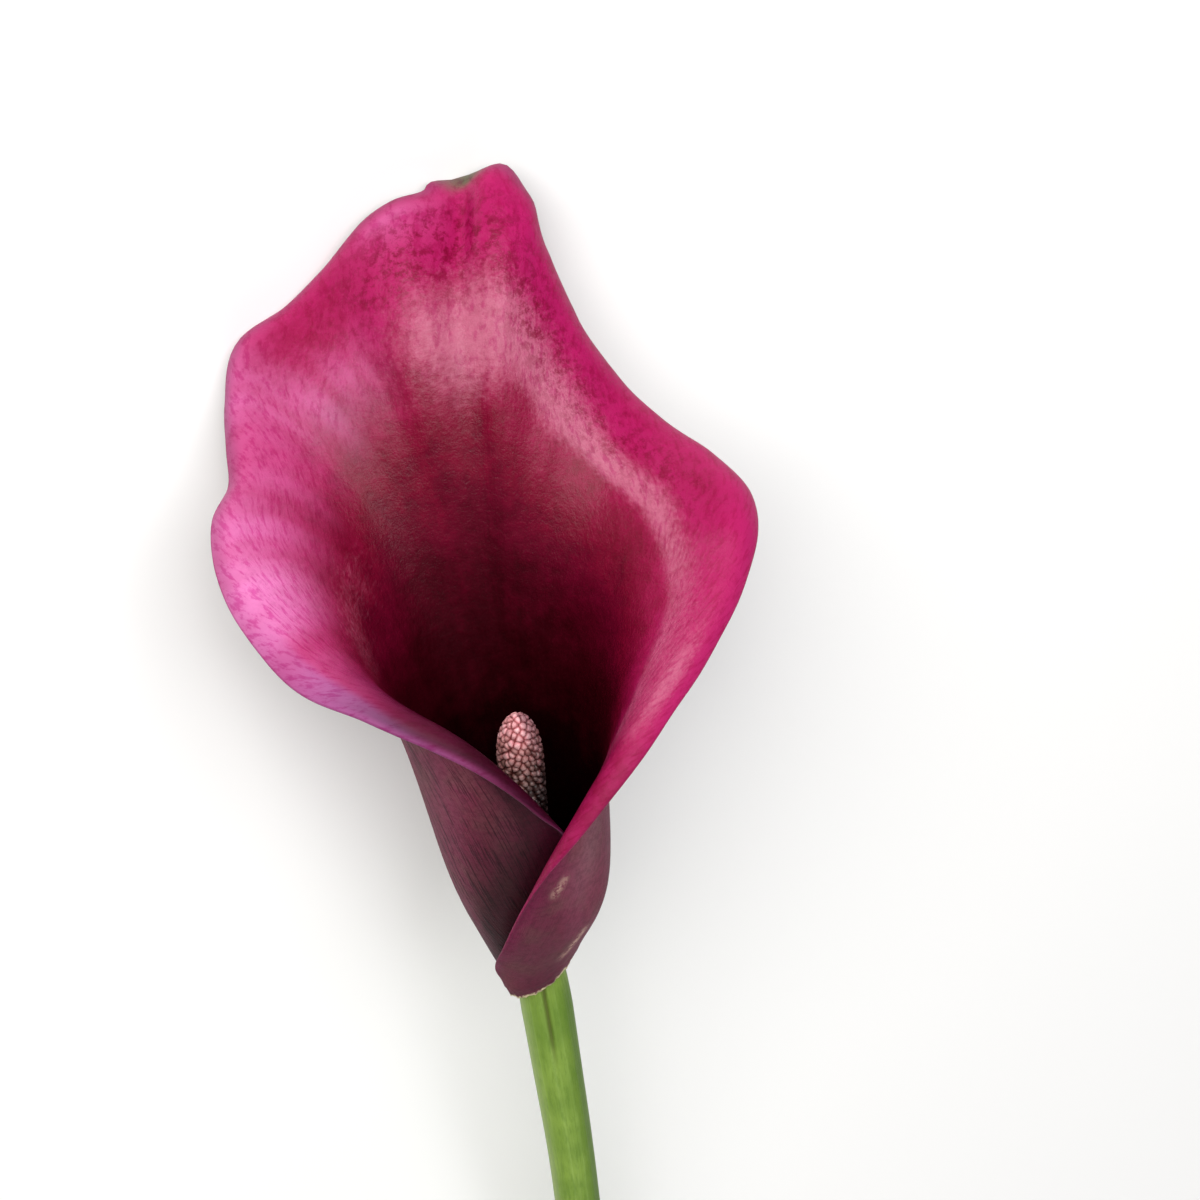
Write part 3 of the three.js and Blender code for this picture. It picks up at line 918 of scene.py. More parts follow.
# How the spathe's colours change: first along the rim, in millimetres from the tip, to the right, and then in
# reach, which is 0 at the foot, 1 at the crest and 1.2 at the lip's edge.
MARKS = {
    "warmth": (
        Spot(-0.03, (ramp, 15, 40)),
        Spot(-0.03, (ramp, -25, -50)),
        Spot(-0.055, (bell, -37, 12), (bell, 0.68, 0.16)),
    ),
    "speckled": (
        Spot(1, (bell, -4, 20), (bell, 0.93, 0.08)),
        Spot(0.7, (ramp, 8, 20), (bell, 0.93, 0.08)),
        Spot(-0.7, (ramp, 48, 66), (bell, 0.93, 0.08)),
        Spot(0.15, None, (bell, 0.9, 0.2)),
    ),
    # painted sheen: where the pale band of reflected light lies across the inner wall, how high up and how
    # wide, then lesser painted sheen on the left wall and on the right lip
    "shine": (Spot(0.35, (ramp, -44, -14)), Spot(0.65, (ramp, -20, -2)), Spot(-0.45, (ramp, 45, 72))),
    "shine_reach": (
        Spot(0.79),
        Spot(0.06, (ramp, 2, 24)),
        Spot(-0.01, (ramp, 32, 48)),
        Spot(0.05, (ramp, 56, 74)),
    ),
    "shine_above": (Spot(0.1), Spot(-0.04, (ramp, 28, 44)), Spot(0.05, (ramp, 56, 74))),
    "shine_below": (Spot(0.1), Spot(-0.03, (ramp, 8, 20)), Spot(-0.03, (ramp, 26, 40))),
    "left_painted_sheen": (Spot(0.36, (bell, -70, 20), (bell, 0.68, 0.1)),),
    "right_painted_sheen": (Spot(0.75, (bell, 81, 9), (bell, 1.06, 0.07)),),
    "deep": (
        Spot(1, (bell, -27, 10), (bell, 0.97, 0.07)),
        Spot(0.5, (bell, 52, 9), (bell, 0.97, 0.05)),
        Spot(1, (ramp, 82, 96), (ramp, 0.8, 0.95)),
        Spot(0.3, (bell, 38, 8), (bell, 1.02, 0.06)),
    ),
    "mauve": (
        Spot(0.5, (ramp, -100, -40), (ramp, 1.05, 1.18)),
        Spot(-0.4, (ramp, 0, 40), (ramp, 1.05, 1.18)),
    ),
    # pink, partly painted sheen: the left flap's paler wash, and patches near the tip
    "left_pink_sheen": (Spot(0.9, (bell, -65, 16), (ramp, 0.7, 1.04)),),
    "next_pink_sheen": (Spot(0.675, (bell, -42, 8), (ramp, 0.7, 1.04)),),
    "tip_pink_sheen": (
        Spot(0.45, (bell, -9, 6), (bell, 1.04, 0.07)),
        Spot(0.35, (bell, -30, 9), (bell, 0.84, 0.08)),
    ),
    "green": (Spot(1, (bell, 0.6, 1.5), (ramp, 1.02, 1.1)),),
    "blush": (Spot(0.3), Spot(0.5, (ramp, 120, 132))),
    # dusk is painted shade on the lower lips and on the wall below the left one
    "dusk": (Spot(0.85), Spot(0.1, (ramp, -94, -104))),
    "painted_shade_wall": (Spot(1, (ramp, -78, -96), (ramp, 0.8, 0.95)),),
    "painted_shade_edge": (Spot(1), Spot(-0.5, (ramp, -111, -98), (ramp, 1.15, 1.195))),
    "painted_shade_right": (Spot(0.12, (ramp, 85, 96)),),
    # violet, partly painted highlight: the rolled edge of the lower left lip
    "lilac_and_painted_highlight": (Spot(0.85, (ramp, -68, -86)), Spot(-0.51, (ramp, -97, -110))),
    "lilac_drop": (Spot(0.13, (ramp, -80, -98)),),
    # painted shade on the outside, under the overhanging lip and by the wrap
    "painted_overhang_shade": (
        Spot(0.5, (ramp, -96, -104), (ramp, 0.82, 0.98)),
        Spot(0.45, (ramp, -100, -109), (ramp, 0.1, 0.3)),
        Spot(0.3, (ramp, 106, 114)),
    ),
    # painted shade on the outside, darker towards the foot on the right
    "painted_shade_right_foot": (Spot(0.15, None, (ramp, 0.4, 0.1)),),
    # paler patches on the outside: on the wrap, and low on the left
    "paler_patch": (Spot(0.6, (bell, 101, 6), (bell, 0.62, 0.2)), Spot(0.15, (bell, -98, 5), (bell, 0.6, 0.15))),
}
SCARS = Scar((5.7, 33.1, 11.8), (4.2, 31.2, 11.9), 0.6), Scar((6.7, 20, 6.7), (3.4, 15, 6.8), 0.62)


@dataclass
class Spathe:
    """The one large bract: rolled into a tube at the foot, flared above, its rim rolled outwards. Millimetres
    and degrees."""

    lay: Lay
    tube: Tube = Tube()
    left_margin_turn: float = -225
    right_margin_turn: float = 240
    vein_fan: float = 1.8
    vein_sweep: float = 1.2
    flare_power: float = 2.6
    softening: float = 18
    softening_start: float = 0.15
    profile_softening: float = 3
    wall_foot: float = 0.95
    wall_rim: float = 0.65
    margin_thinning: float = 0.4
    thinned_margin: Pair = (0.55, 0.8)
    rim_steps: int = 420
    vein_steps: int = 96
    lip_steps: int = 16
    edge_steps: int = 5
    below_crest: float = 1 / 16
    lip_reach: float = 0.2
    rolled_lip: float = 0.5
    rolled_curl: float = 62
    rolled_from: Pair = (-121, -113)
    rolled_to: Pair = (-99, -88)
    steady_margin: Pair = (0.91, 0.95)
    tongue: float = 0.35
    tongue_width: float = 1.4
    groove_depth: float = 0.13
    groove: Pair = (0.2, 2.8)
    groove_start: Pair = (0.8, 0.96)
    groove_end: Pair = (0.97, 1.1)
    groove_loss: float = 0.7
    free_margin: Pair = (0.3, 0.5)
    folds: Waves = Waves(0.1, (5.3, 8.9), 5)
    folded: Spot = Spot(1, (bell, 0, 12), (bell, 0.98, 0.2))
    ripples: Waves = Waves(0.11, (9.7, 15.3, 23), 3)
    ripples_start: Pair = (0.45, 0.9)
    calm: Spot = Spot(0.6, (bell, -68, 22))
    frill: Waves = Waves(0.14, (11.3, 17.9), 8)
    frill_start: Pair = (1, 1.2)
    still: Spot = Spot(0.8, (ramp, 5, 20))
    tatters: Waves = Waves(0.14, (0.8, 1.5, 2.9), 11)
    tatters_middle: float = 0.12
    longest_tatter: float = 0.4
    wrap_margin: float = 0.72
    # painted shade on the outside of the left wall, near the wrap's free edge
    painted_shade_under_wrap: Spot = Spot(0.75, (bell, 0, 5.5))
    blushing: Spot = Spot(1, (bell, 0.96, 0.05), (bell, 0.6, 0.6))
    lilac_lip: Pair = (1, 1.07)
    # the strongest painted shade on the outside
    darkest: float = 0.85
    table_softness: float = 0.12
    foot_thinning: float = 1.2
    foot_thinning_height: float = 2.2
    floor_height: float = 12.6
    floor_thickness: float = 0.6
    floor_hole: float = 1.5
    floor_rings: tuple = (0, 0.3, 0.6, 1)
    floor_sides: int = 96
    name: str = "spathe_skin"

    def __post_init__(self) -> None:
        """Lays out the rim."""
        self.rim = self.rim_line()

    def rim_line(self) -> RimLine:
        """Samples the rim's stations at even steps.

        Returns:
            The rim, with its lip's length and roll evened out along it.
        """
        stations = np.array(RIM)
        line = SmoothLine(stations[:, :3])
        places = line.even(self.rim_steps)
        length, tip = line.lengths[-1], line.length_to(TIP_STATION)
        step = length / self.rim_steps
        along = np.linspace(0, length, self.rim_steps + 1) - tip
        margins = np.where(along < 0, along / tip, along / (length - tip))
        points = line.at(places)
        turns = np.degrees(np.arctan2(points[:, 0] - self.tube.middle(points[:, 1]), -points[:, 2]))
        turns = np.degrees(np.unwrap(np.radians(turns)))
        turns -= 360 * np.round(turns[np.argmin(np.abs(along))] / 360)
        margin_turn = np.where(margins < 0, self.left_margin_turn, self.right_margin_turn)
        foot_turns = margin_turn * np.abs(margins) ** self.vein_fan
        at, numbers = places * (len(stations) - 1), np.arange(len(stations))
        columns = (np.interp(at, numbers, column) for column in stations[:, 3:].T)
        climb, lip, curl = (softened(column, self.profile_softening / step) for column in columns)
        rolled = ramp(along, *self.rolled_from) * (1 - ramp(along, *self.rolled_to))
        lip = lip + self.tongue * bell(along, 0, self.tongue_width) + self.rolled_lip * rolled
        curl = curl + self.rolled_curl * rolled
        return RimLine(step, points, margins, along, turns, foot_turns, climb, lip, curl)

    def row(self, share: float) -> Grid:
        """Finds one row of the sheet between the foot and the crest.

        Args:
            share: how far up the veins the row lies, from 0 to 1.

        Returns:
            Its points.
        """
        width = self.softening * (1 - share) * min(1, share / self.softening_start) / self.rim.step
        rim, (right, up, front) = self.rim, self.rim.points.T
        foot = self.tube.foot(rim.foot_turns)
        turns = rim.foot_turns + (rim.turns - rim.foot_turns) * share**self.vein_sweep
        heights = foot + (up - foot) * share * (1 + rim.climb * (1 - share))
        out = np.hypot(right - self.tube.middle(up), front)
        flares = (out - self.tube.radius(up, rim.turns)) * share**self.flare_power
        turns, heights, flares = (softened(values, width) for values in (turns, heights, flares))
        return self.tube.points(self.tube.radius(heights, turns) + flares, heights, turns)

    def lip_row(self, crest: Grid, below: Grid, share: float) -> Grid:
        """Finds one row of the lip, rolled outwards past the crest.

        Args:
            crest: the row at the crest.
            below: a row a little below it.
            share: how far along the lip the row lies, from 0 to 1.

        Returns:
            Its points.
        """
        along = unit(np.gradient(crest, axis=0))
        inward = self.steadied(np.cross(along, unit(crest - below)), crest)
        outward = np.cross(inward, along)
        curl = np.radians(self.rim.curl)[:, None]
        radius = self.rim.lip[:, None] / curl
        return crest + radius * np.sin(curl * share) * outward - radius * (1 - np.cos(curl * share)) * inward

    def steadied(self, inward: Grid, points: Grid) -> Grid:
        """Turns directions into the tube's own where the margins end, as the veins are too short there.

        Args:
            inward: directions across the wall, towards the inside.
            points: the points that the directions belong to.

        Returns:
            The directions, at length one.
        """
        share = ramp(np.abs(self.rim.margins), *self.steady_margin)[:, None]
        towards = np.zeros_like(points)
        towards[..., 0] = self.tube.middle(points[..., 1]) - points[..., 0]
        towards[..., 2] = -points[..., 2]
        return unit(unit(inward) * (1 - share) + unit(towards) * share)

    def inward(self, rows: Grid) -> Grid:
        """The directions across the wall, towards the inside, at length one."""
        return self.steadied(np.cross(np.gradient(rows, axis=1), np.gradient(rows, axis=0)), rows)

    def sheet(self) -> tuple[Grid, Grid]:
        """Makes the middle surface of the wall, its torn lowest edge hanging unevenly over the stem.

        Returns:
            The rows of points from the foot to the lip's edge, and each row's reach.
        """
        shares = np.linspace(0, 1, self.vein_steps + 1)
        rows = [self.row(share) for share in shares]
        below = self.row(1 - self.below_crest)
        lips = np.linspace(0, 1, self.lip_steps + 1)[1:]
        rows += [self.lip_row(rows[self.vein_steps], below, lip) for lip in lips]
        rows = np.array(rows)
        tatters = self.tatters_middle + self.tatters.at(lengths_along(rows[0]))
        rows[0, :, 1] -= np.clip(tatters, 0, self.longest_tatter)
        return rows, np.concatenate([shares, 1 + self.lip_reach * lips])

    def relief(self, rows: Grid, reach: Grid) -> Grid:
        """How far each point stands towards the inside: the midrib's groove, soft folds and a wavy lip.

        Args:
            rows: the middle surface.
            reach: each row's reach.

        Returns:
            Millimetres, one for each point of the surface.
        """
        across, level = self.rim.across(rows), reach[:, None]
        free = ramp(1 - np.abs(self.rim.margins), *self.free_margin)
        groove = self.groove_depth * bell(across, *self.groove) * ramp(level, *self.groove_start)
        groove = groove * (1 - self.groove_loss * ramp(level, *self.groove_end))
        folds = self.folds.at(across) * self.folded.on(across, level)
        waving = self.ripples.at(self.rim.along) * free * (1 - self.calm.on(self.rim.along))
        frill = self.frill.at(self.rim.along) * free * (1 - self.still.on(self.rim.along))
        waving = waving * ramp(level, *self.ripples_start)
        return folds - groove + waving + frill * ramp(level, *self.frill_start)

    def walls(self, reach: Grid) -> Grid:
        """The wall's thickness at each point: thinner towards the rim and where the margins overlap."""
        plain = self.wall_foot + (self.wall_rim - self.wall_foot) * np.minimum(reach, 1)[:, None]
        return plain * (1 - self.margin_thinning * ramp(np.abs(self.rim.margins), *self.thinned_margin))

    def rounded_edge(self, rows: Grid, walls: Grid) -> tuple[Grid, Grid]:
        """Carries the sheet on past the lip's end, its wall closing like half of a circle.

        Args:
            rows: the middle surface.
            walls: its thickness.

        Returns:
            The two, longer by the rows of the rounded edge.
        """
        onward = unit(rows[-1] - rows[-2])
        half = walls[-1] / 2
        turns = np.linspace(0, math.pi / 2, self.edge_steps + 1)[1:]
        more = [rows[-1] + onward * (half * math.sin(turn))[:, None] for turn in turns]
        return np.vstack([rows, more]), np.vstack([walls, [walls[-1] * math.cos(turn) for turn in turns]])

    def marks(self, rows: Grid, reach: Grid) -> dict[str, Grid]:
        """Works out the values that the finishes read.

        Args:
            rows: the middle surface.
            reach: each row's reach.

        Returns:
            One grid for each value.
        """
        level, m, along = np.broadcast_arrays(reach[:, None], self.rim.margins, self.rim.along)
        told = {name: sum(spot.on(along, level) for spot in spots) for name, spots in MARKS.items()}
        width = np.where(level < told["shine_reach"], told["shine_below"], told["shine_above"])
        shine = told["shine"] * bell(level, told["shine_reach"], width)
        # painted shade on the outside: beside the wrap's free edge, under the overhanging lip and low on the
        # right
        painted_shade_under_wrap = self.painted_shade_under_wrap.on(self.to_wrap(rows)) * (m < 0)
        dark = told["painted_overhang_shade"] + told["painted_shade_right_foot"] * (m > 0) + painted_shade_under_wrap
        return {name: told[name] for name in ("deep", "mauve", "green", "paler_patch")} | {
            "reach": level,
            "along": along,
            "margin": m,
            "across": self.rim.across(rows),
            "vein": lengths_along(rows),
            "warmth": level + told["warmth"],
            "speckled": np.clip(told["speckled"], 0, 1),
            # painted sheen: the band of reflected light and its lesser patches
            "painted_sheen": np.maximum(shine, told["left_painted_sheen"]) + told["right_painted_sheen"],
            # pink, partly painted sheen
            "pink": np.maximum(told["left_pink_sheen"], told["next_pink_sheen"]) + told["tip_pink_sheen"],
            "blush": told["blush"] * self.blushing.on(m, level),
            # painted shade on the lower lips
            "dusk": told["dusk"] * told["painted_shade_wall"] * told["painted_shade_edge"] + told["painted_shade_right"],
            "lilac_and_painted_highlight": told["lilac_and_painted_highlight"] * ramp(level - told["lilac_drop"], *self.lilac_lip),
            "painted_overhang_shade": np.clip(dark, 0, self.darkest),
            "scar": np.clip(sum(scar.on(rows) for scar in SCARS), 0, 1),
        }

    def to_wrap(self, rows: Grid) -> Grid:
        """Measures from every point to the free edge of the outer wrap.

        Args:
            rows: the middle surface.

        Returns:
            The shortest way, in millimetres, for each point.
        """
        away = np.full(rows.shape[:-1], np.inf)
        for point in rows[-1][self.rim.margins > self.wrap_margin]:
            away = np.minimum(away, np.linalg.norm(rows - point, axis=-1))
        return away

    def lift(self, outside: Grid) -> Grid:
        """How the table holds up what would sink into it.

        Args:
            outside: the points of the outer face.

        Returns:
            The shift of each of them, in the flower's frame.
        """
        heights = self.lay.place(outside)[..., 2] / MM
        rise = self.table_softness * np.logaddexp(0, -heights / self.table_softness)
        return rise[..., None] * self.lay.turn()[2]

    def close_throat(self, maker: MeshMaker, names: list[str]) -> None:
        """Adds the floor on which the spadix stands: a web from the stem's top out into the tube's wall.

        Args:
            maker: the spathe's mesh.
            names: the named values that each of its points has.
        """
        turns = self.left_margin_turn + np.linspace(0, 360, self.floor_sides, endpoint=False)
        outwards = np.array(self.floor_rings)
        shares = np.concatenate([outwards, outwards[::-1]])[:, None]
        sides = np.repeat([0.5, -0.5], len(outwards))
        radius = self.floor_hole + (self.tube.radius(self.floor_height, turns) - self.floor_hole) * shares
        points = self.tube.points(radius, self.floor_height, turns).copy()
        points[..., 1] += (sides * self.floor_thickness)[:, None]
        numbers = maker.add_points(points, **dict.fromkeys(names, 0))
        maker.add_faces(np.vstack([numbers, numbers[:1]]), slot=1, closed=True)

    def build(self) -> bpy.types.Object:
        """Builds and dresses the spathe.

        Returns:
            The piece.
        """
        rows, reach = self.sheet()
        marks = self.marks(rows, reach)
        rows = rows + self.relief(rows, reach)[..., None] * self.inward(rows)
        inward = self.inward(rows)
        rows, walls = self.rounded_edge(rows, self.walls(reach))
        inward = np.vstack([inward, [inward[-1]] * self.edge_steps])
        marks = {name: np.vstack([grid, [grid[-1]] * self.edge_steps]) for name, grid in marks.items()}
        maker = MeshMaker(self.lay)
        half = (walls / 2)[..., None] * inward
        rows = rows + self.lift(rows - half)
        inside = maker.add_points(rows + half, **marks)
        worn = 1 - self.foot_thinning * (1 - ramp(marks["vein"], 0, self.foot_thinning_height))
        outside = (rows - half * worn[..., None])[:-1]
        outside = maker.add_points(outside, **{name: grid[:-1] for name, grid in marks.items()})
        outside = np.vstack([outside, inside[-1:]])
        maker.add_faces(inside)
        maker.add_faces(outside, slot=1, flipped=True)
        maker.add_faces(np.stack([inside[0], outside[0]]), slot=1, flipped=True)
        maker.add_faces(np.stack([inside[:, 0], outside[:, 0]]), slot=1)
        maker.add_faces(np.stack([inside[:, -1], outside[:, -1]]), slot=1, flipped=True)
        self.close_throat(maker, list(marks))
        made = maker.make(self.name, [InnerFace().make(), OuterFace().make()])
        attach(made, BODY)
        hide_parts("spathe")
        return made


# ---- The spadix ----


@dataclass
class Spadix:
    """The finger in the throat, packed with florets. Millimetres and degrees."""

    lay: Lay
    foot_height: float = 11.45
    length: float = 39.5
    radius: float = 2.86
    foot_radius: float = 2.5
    foot_share: float = 0.15
    lean: float = -3.9
    dome: float = 6.5
    fine_steps: int = 400
    sides: int = 176
    rows: int = 330
    floret_area: float = 0.78
    golden_turn: float = 137.508
    seed: int = 17
    jitter: float = 0.19
    bead_radius: float = 0.62
    crown_height: float = 0.16
    gap_depth: float = 0.26
    gap_width: float = 0.36
    # painted shade: how strongly the florets are darkened on the side away from the light
    painted_far_side_shade: float = 0.8
    far_from: Pair = (0.05, 0.85)
    name: str = "spadix_florets"

    def outline(self) -> tuple[Grid, Grid, Grid]:
        """The bare finger's outline, from the rim of its foot to its top, in very short steps.

        Returns:
            The radius, the height and the length along the outline of each of its points.
        """
        shoulder = self.length - self.dome
        climb = np.linspace(0, 1, self.fine_steps)
        bend = np.linspace(0, math.pi / 2, self.fine_steps)[1:]
        widening = [0, self.foot_share * self.length], [self.foot_radius, self.radius]
        side = np.interp(climb * shoulder, *widening)
        radius = np.concatenate([side, self.radius * np.cos(bend)])
        height = np.concatenate([climb * shoulder, shoulder + self.dome * np.sin(bend)])
        return radius, height, lengths_along(np.stack([radius, height], axis=-1))

    def florets(self) -> tuple[Grid, Grid]:
        """Spreads the florets over the finger, evenly by area.

        Returns:
            Where they sit, and each one's own tint.
        """
        rng = np.random.default_rng(self.seed)
        radius, height, length = self.outline()
        area = np.concatenate([[0], np.cumsum(math.pi * (radius[1:] + radius[:-1]) * np.diff(length))])
        count = int(area[-1] / self.floret_area)
        places = np.interp((np.arange(count) + 0.5) * self.floret_area, area, length)
        places = np.clip(places + rng.normal(0, self.jitter, count), 0, length[-1])
        side, high = np.interp(places, length, radius), np.interp(places, length, height)
        turns = np.radians(self.golden_turn) * np.arange(count)
        turns = turns + rng.normal(0, self.jitter, count) / self.radius
        return np.stack([side * np.cos(turns), high, side * np.sin(turns)], axis=-1), rng.random(count)

    def relief(self, skin: Grid) -> tuple[Grid, Grid, Grid]:
        """How the florets shape the skin.

        Args:
            skin: the bare finger's points.

        Returns:
            For each point how far it is out of the gaps, from 0 to 1, how far it is up on its floret's
            round top, from 0 to 1, and its floret's tint.
        """
        centres, tints = self.florets()
        tree = kdtree.KDTree(len(centres))
        for number, centre in enumerate(centres):
            tree.insert(centre, number)
        tree.balance()
        crown, bead, tint = (np.zeros(skin.shape[:-1]) for _ in range(3))
        for place in np.ndindex(crown.shape):
            (_, number, near), (_, _, next_near) = tree.find_n(skin[place], 2)
            crown[place] = (next_near - near) / self.gap_width
            bead[place] = 1 - (near / self.bead_radius) ** 2
            tint[place] = tints[number]
        return ramp(crown, 0, 1), np.sqrt(np.clip(bead, 0, 1)), tint

    def build(self) -> bpy.types.Object:
        """Builds and dresses the spadix.

        Returns:
            The piece.
        """
        radius, height, length = self.outline()
        places = np.linspace(0, length[-1], self.rows + 1)
        radii, heights = np.interp(places, length, radius), np.interp(places, length, height)
        slope = unit(np.stack([np.gradient(heights), -np.gradient(radii)], axis=-1))
        turns = np.linspace(0, 2 * math.pi, self.sides, endpoint=False)
        around = np.stack([np.cos(turns), 0 * turns, np.sin(turns)], axis=-1)[None]
        up = np.array([0, 1, 0])
        skin = radii[:, None, None] * around + heights[:, None, None] * up
        out = slope[:, :1, None] * around + slope[:, 1:, None] * up
        crown, bead, tint = self.relief(skin)
        lift = -self.gap_depth + (self.gap_depth + self.crown_height) * crown * (1 + bead) / 2
        skin = skin + lift[..., None] * out
        lean = np.array(Matrix.Rotation(math.radians(self.lean), 3, "Z"))
        skin = skin @ lean.T + [0, self.foot_height, 0]
        rise = np.clip(heights / self.length, 0, 1)[:, None]
        # painted shade on the spadix's right side, away from the light
        painted_far_side_shade = self.painted_far_side_shade * ramp(around[..., 0], *self.far_from) + 0 * rise
        marks = {"rise": rise, "crown": crown, "bead": bead, "tint": tint, "painted_far_side_shade": painted_far_side_shade}
        maker = MeshMaker(self.lay)
        numbers = maker.add_points(skin[:-1], **{name: grid[:-1] for name, grid in marks.items()})
        top = maker.add_points(skin[-1:, :1], **{name: grid[-1:, :1] for name, grid in marks.items()})
        foot = maker.add_points(np.array([[[0, self.foot_height, 0]]]), **dict.fromkeys(marks, 0))
        top, foot = (np.repeat(end, self.sides, axis=1) for end in (top, foot))
        maker.add_faces(np.vstack([foot, numbers, top]), closed=True, flipped=True)
        made = maker.make(self.name, [FloretFinish().make()])
        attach(made, BODY)
        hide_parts("spadix")
        return made


# ---- The stem ----


@dataclass
class Stem:
    """The stalk, from its top inside the spathe's foot to the knife's cut. Millimetres and degrees."""

    lay: Lay
    middle: tuple = (
        (0, 11, 0, 2.6),
        (0, 10, 0, 3.1),
        (0, 5, 0, 3.45),
        (0, 0, 0, 3.55),
        (-0.1, -12, 0, 3.45),
        (-0.3, -30, -0.2, 3.3),
        (-1.6, -70, -0.8, 3.25),
        (-1.8, -115, -0.8, 3.3),
        (-0.6, -155, 0, 3.5),
        (1, -180, 0.8, 3.65),
    )  # right, up, front and the radius
    cut_slant: float = 12
    sides: int = 96
    steps: int = 190
    cut_rings: int = 9
    ribs: int = 7
    rib_height: float = 0.035
    rib_twist: float = 0.9
    rib_twist_length: float = 37
    ribs_from: Pair = (2, 8)
    lobe_depth: float = 0.16
    lobe_width: float = 26
    lobe_end: Pair = (30, 110)
    crease_turn: float = 88
    crease_depth: float = 0.35
    crease_width: float = 5
    crease_end: Pair = (12, 22)
    # how strongly the crease is darkened with painted shade
    crease_strength: float = 0.85
    # painted light: the paler stripe down the left side, its strength, turn and width
    painted_light_strip: tuple = (0.9, 158, 20)
    shaded: tuple = (0.75, 24, 34)
    stripes_from: Pair = (3, 9)
    name: str = "stem_stalk"

    def rings(self) -> tuple[Grid, Grid, Grid]:
        """The stem's skin.

        Returns:
            The rings of points from the top to the cut, the turn of each side in degrees, and the
            length down the stem of each ring in millimetres.
        """
        stations = np.array(self.middle)
        line = SmoothLine(stations[:, :3])
        places = line.even(self.steps)
        centres = line.at(places)
        down = unit(np.gradient(centres, axis=0))
        side = unit(np.array([1, 0, 0]) - down[:, :1] * down)
        front = np.cross(down, side)
        turns = np.linspace(0, 360, self.sides, endpoint=False)
        lengths = np.linspace(0, line.lengths[-1], self.steps + 1)
        radius = np.interp(places * (len(stations) - 1), np.arange(len(stations)), stations[:, 3])
        radius = radius[:, None] + self.dents(turns[None, :], lengths[:, None])
        angle = np.radians(turns)[None, :, None]
        out = np.cos(angle) * side[:, None] + np.sin(angle) * front[:, None]
        rings = centres[:, None] + radius[..., None] * out
        slant = math.tan(math.radians(self.cut_slant))
        rings[-1] += down[-1] * (slant * radius[-1] * np.cos(angle[0, :, 0]))[:, None]
        return rings, turns, lengths

    def stripe(self, turn: Grid, middle: float, width: float) -> Grid:
        """How strong a stripe along the stem is at a turn, from 0 to 1."""
        return bell((turn - middle + 180) % 360 - 180, 0, width)

    def crease(self, turn: Grid, length: Grid) -> Grid:
        """How strongly the crease under the spathe's front shows, from 0 to 1."""
        return self.stripe(turn, self.crease_turn, self.crease_width) * (1 - ramp(length, *self.crease_end))

    def dents(self, turn: Grid, length: Grid) -> Grid:
        """What ribs, a shallow hollow and the crease add to the radius.

        Args:
            turn: how far round the stem.
            length: how far down it.

        Returns:
            Millimetres.
        """
        twist = self.rib_twist * np.sin(length / self.rib_twist_length)
        ribs = self.rib_height * np.cos(np.radians(self.ribs * turn) + twist)
        lobe = self.lobe_depth * self.stripe(turn, self.crease_turn, self.lobe_width)
        lobe = lobe * (1 - ramp(length, *self.lobe_end))
        return (ribs - lobe) * ramp(length, *self.ribs_from) - self.crease_depth * self.crease(turn, length)

    def build(self) -> bpy.types.Object:
        """Builds and dresses the stem.

        Returns:
            The piece.
        """
        rings, turns, lengths = self.rings()
        turn, length = turns[None, :], lengths[:, None]
        # painted shade in the crease, as strong as the dent
        crease = self.crease_strength * self.crease(turn, length)
        skin = {"turn": turn, "length": length, "crease": crease, "out": 1}
        for name, (strength, middle, width) in (("painted_light_strip", self.painted_light_strip), ("shaded", self.shaded)):
            skin[name] = strength * self.stripe(turn, middle, width) * ramp(length, *self.stripes_from)
        maker = MeshMaker(self.lay)
        numbers = maker.add_points(rings, **skin)
        maker.add_faces(numbers, closed=True)
        for end, slot, flipped in ((0, 0, True), (-1, 1, False)):
            middle = rings[end].mean(axis=0)
            shares = 1 - np.arange(1, self.cut_rings) / self.cut_rings
            inner = middle + (rings[end] - middle)[None] * shares[:, None, None]
            plain = dict.fromkeys(skin, 0)
            inner = maker.add_points(inner, **plain | {"out": shares[:, None]})
            centre = np.repeat(maker.add_points(middle[None, None], **plain), self.sides, axis=1)
            whole = np.vstack([numbers[end][None], inner, centre])
            maker.add_faces(whole, slot=slot, closed=True, flipped=flipped)
        made = maker.make(self.name, [StemSkin().make(), CutFlesh().make()])
        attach(made, BODY)
        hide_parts("stem")
        return made


# ---- The table, the lights and the camera ----


@dataclass(frozen=True)
class Lamp:
    """A softbox: where it hangs, in degrees round the table from the right and above it, its sides in metres
    and its power in watts."""

    name: str
    azimuth: float
    elevation: float
    distance: float
    width: float
    height: float
    power: float
    tint: tuple


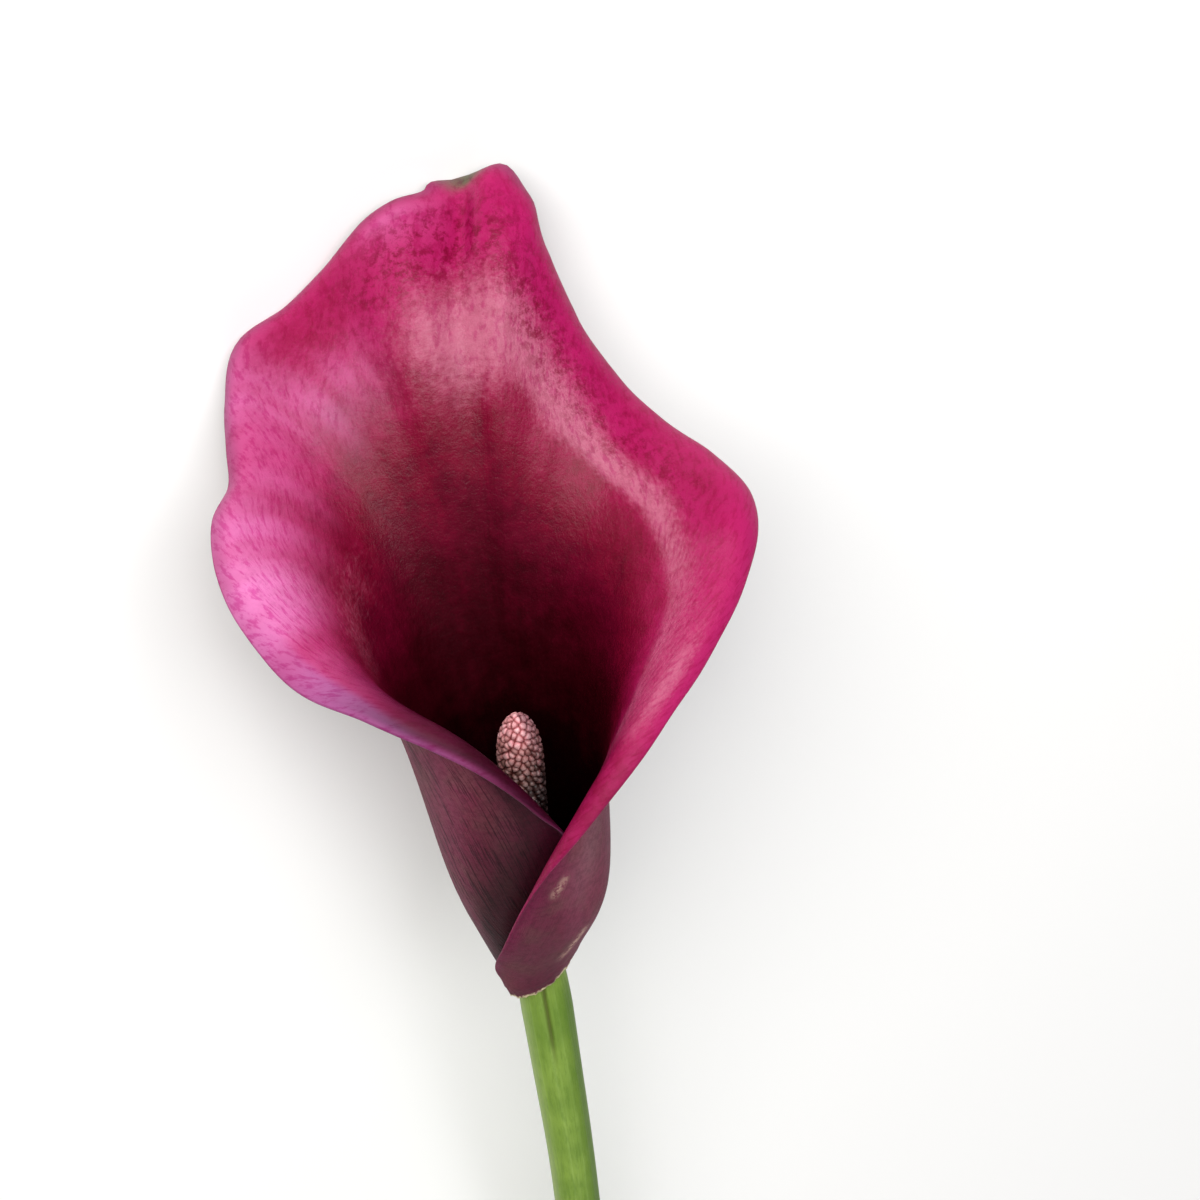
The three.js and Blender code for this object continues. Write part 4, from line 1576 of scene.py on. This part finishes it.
@dataclass
class Studio:
    """A pale table top, soft lamps and the camera that looks down into the mouth. The table's side and the
    view's depth are in metres, the other lengths in millimetres, and angles in degrees."""

    lay: Lay
    table_side: float = 3
    view_height: float = 36
    view_roll: float = 8
    view_distance: float = 300
    view_target: tuple = (14.93, 60.24, -8.81)
    view_depth: Pair = (0.01, 10)
    lens: float = 72
    film: float = 36
    lit_point: tuple = (0, 75, -10)
    room: float = 0.14
    room_colour: tuple = (246, 249, 255)
    lamps: tuple = (
        Lamp("key_softbox", 118, 46, 0.9, 0.7, 0.6, 7.4, (255, 253, 250)),
        Lamp("second_softbox", 66, 62, 0.9, 0.6, 0.5, 4.2, (252, 253, 255)),
        Lamp("front_softbox", -92, 34, 1, 0.9, 0.6, 3.6, (255, 252, 250)),
    )

    def table(self) -> None:
        """Makes the table top."""
        mesh = bpy.data.meshes.new("table_top")
        half = self.table_side / 2
        corners = [(-half, -half, 0), (half, -half, 0), (half, half, 0), (-half, half, 0)]
        mesh.from_pydata(corners, [], [range(4)])
        mesh.materials.append(TableWhite().make())
        top = stand("table_top", mesh)

    def hang(self, plan: Lamp) -> None:
        """Hangs a soft lamp that shines on the flower's mouth.

        Args:
            plan: the lamp's place, size and light.
        """
        light = bpy.data.lights.new(plan.name, "AREA")
        light.shape = "RECTANGLE"
        light.size, light.size_y = plan.width, plan.height
        light.energy = plan.power
        light.color = screen(plan.tint)[:3]
        lamp = stand(plan.name, light)
        turn, rise = math.radians(plan.azimuth), math.radians(plan.elevation)
        towards = Vector((math.cos(rise) * math.cos(turn), math.cos(rise) * math.sin(turn), math.sin(rise)))
        lamp.location = Vector(self.lay.place(np.array(self.lit_point))) + towards * plan.distance
        lamp.rotation_mode = "QUATERNION"
        lamp.rotation_quaternion = towards.to_track_quat("Z", "Y")

    def sky(self) -> None:
        """Lights the room evenly from all round."""
        world = bpy.data.worlds.new("room_light")
        world.use_nodes = True
        background = world.node_tree.nodes["Background"]
        background.inputs["Color"].default_value = screen(self.room_colour)
        background.inputs["Strength"].default_value = self.room
        bpy.context.scene.world = world

    def camera(self) -> None:
        """Sets the camera where the flower is seen from."""
        high, roll = math.radians(self.view_height), math.radians(self.view_roll)
        back = np.array([0, math.sin(high), math.cos(high)])
        right, up = np.array([1, 0, 0]), np.array([0, math.cos(high), -math.sin(high)])
        across = math.cos(roll) * right - math.sin(roll) * up
        upward = math.sin(roll) * right + math.cos(roll) * up
        eye = np.array(self.view_target) + self.view_distance * back
        camera = stand("camera", bpy.data.cameras.new("camera"))
        camera.data.lens, camera.data.sensor_width = self.lens, self.film
        camera.data.clip_start, camera.data.clip_end = self.view_depth
        axes = [Vector(self.lay.turn() @ axis) for axis in (across, upward, back)]
        camera.matrix_world = Matrix.Translation(self.lay.place(eye)) @ Matrix(axes).transposed().to_4x4()
        bpy.context.scene.camera = camera

    def build(self) -> None:
        """Sets up the table, the lamps and the camera."""
        self.table()
        self.sky()
        for plan in self.lamps:
            self.hang(plan)
        bpy.context.scene.view_settings.view_transform = "Standard"
        self.camera()


def main() -> None:
    """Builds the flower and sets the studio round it."""
    logging.basicConfig(level=logging.INFO, format="%(name)s: %(message)s")
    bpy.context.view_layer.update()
    lay = Lay()
    for part in (Spathe(lay), Spadix(lay), Stem(lay)):
        made = part.build()
        log.info("%s: %d faces", made.name, len(made.data.polygons))
    Studio(lay).build()


if __name__ == "__main__":
    main()
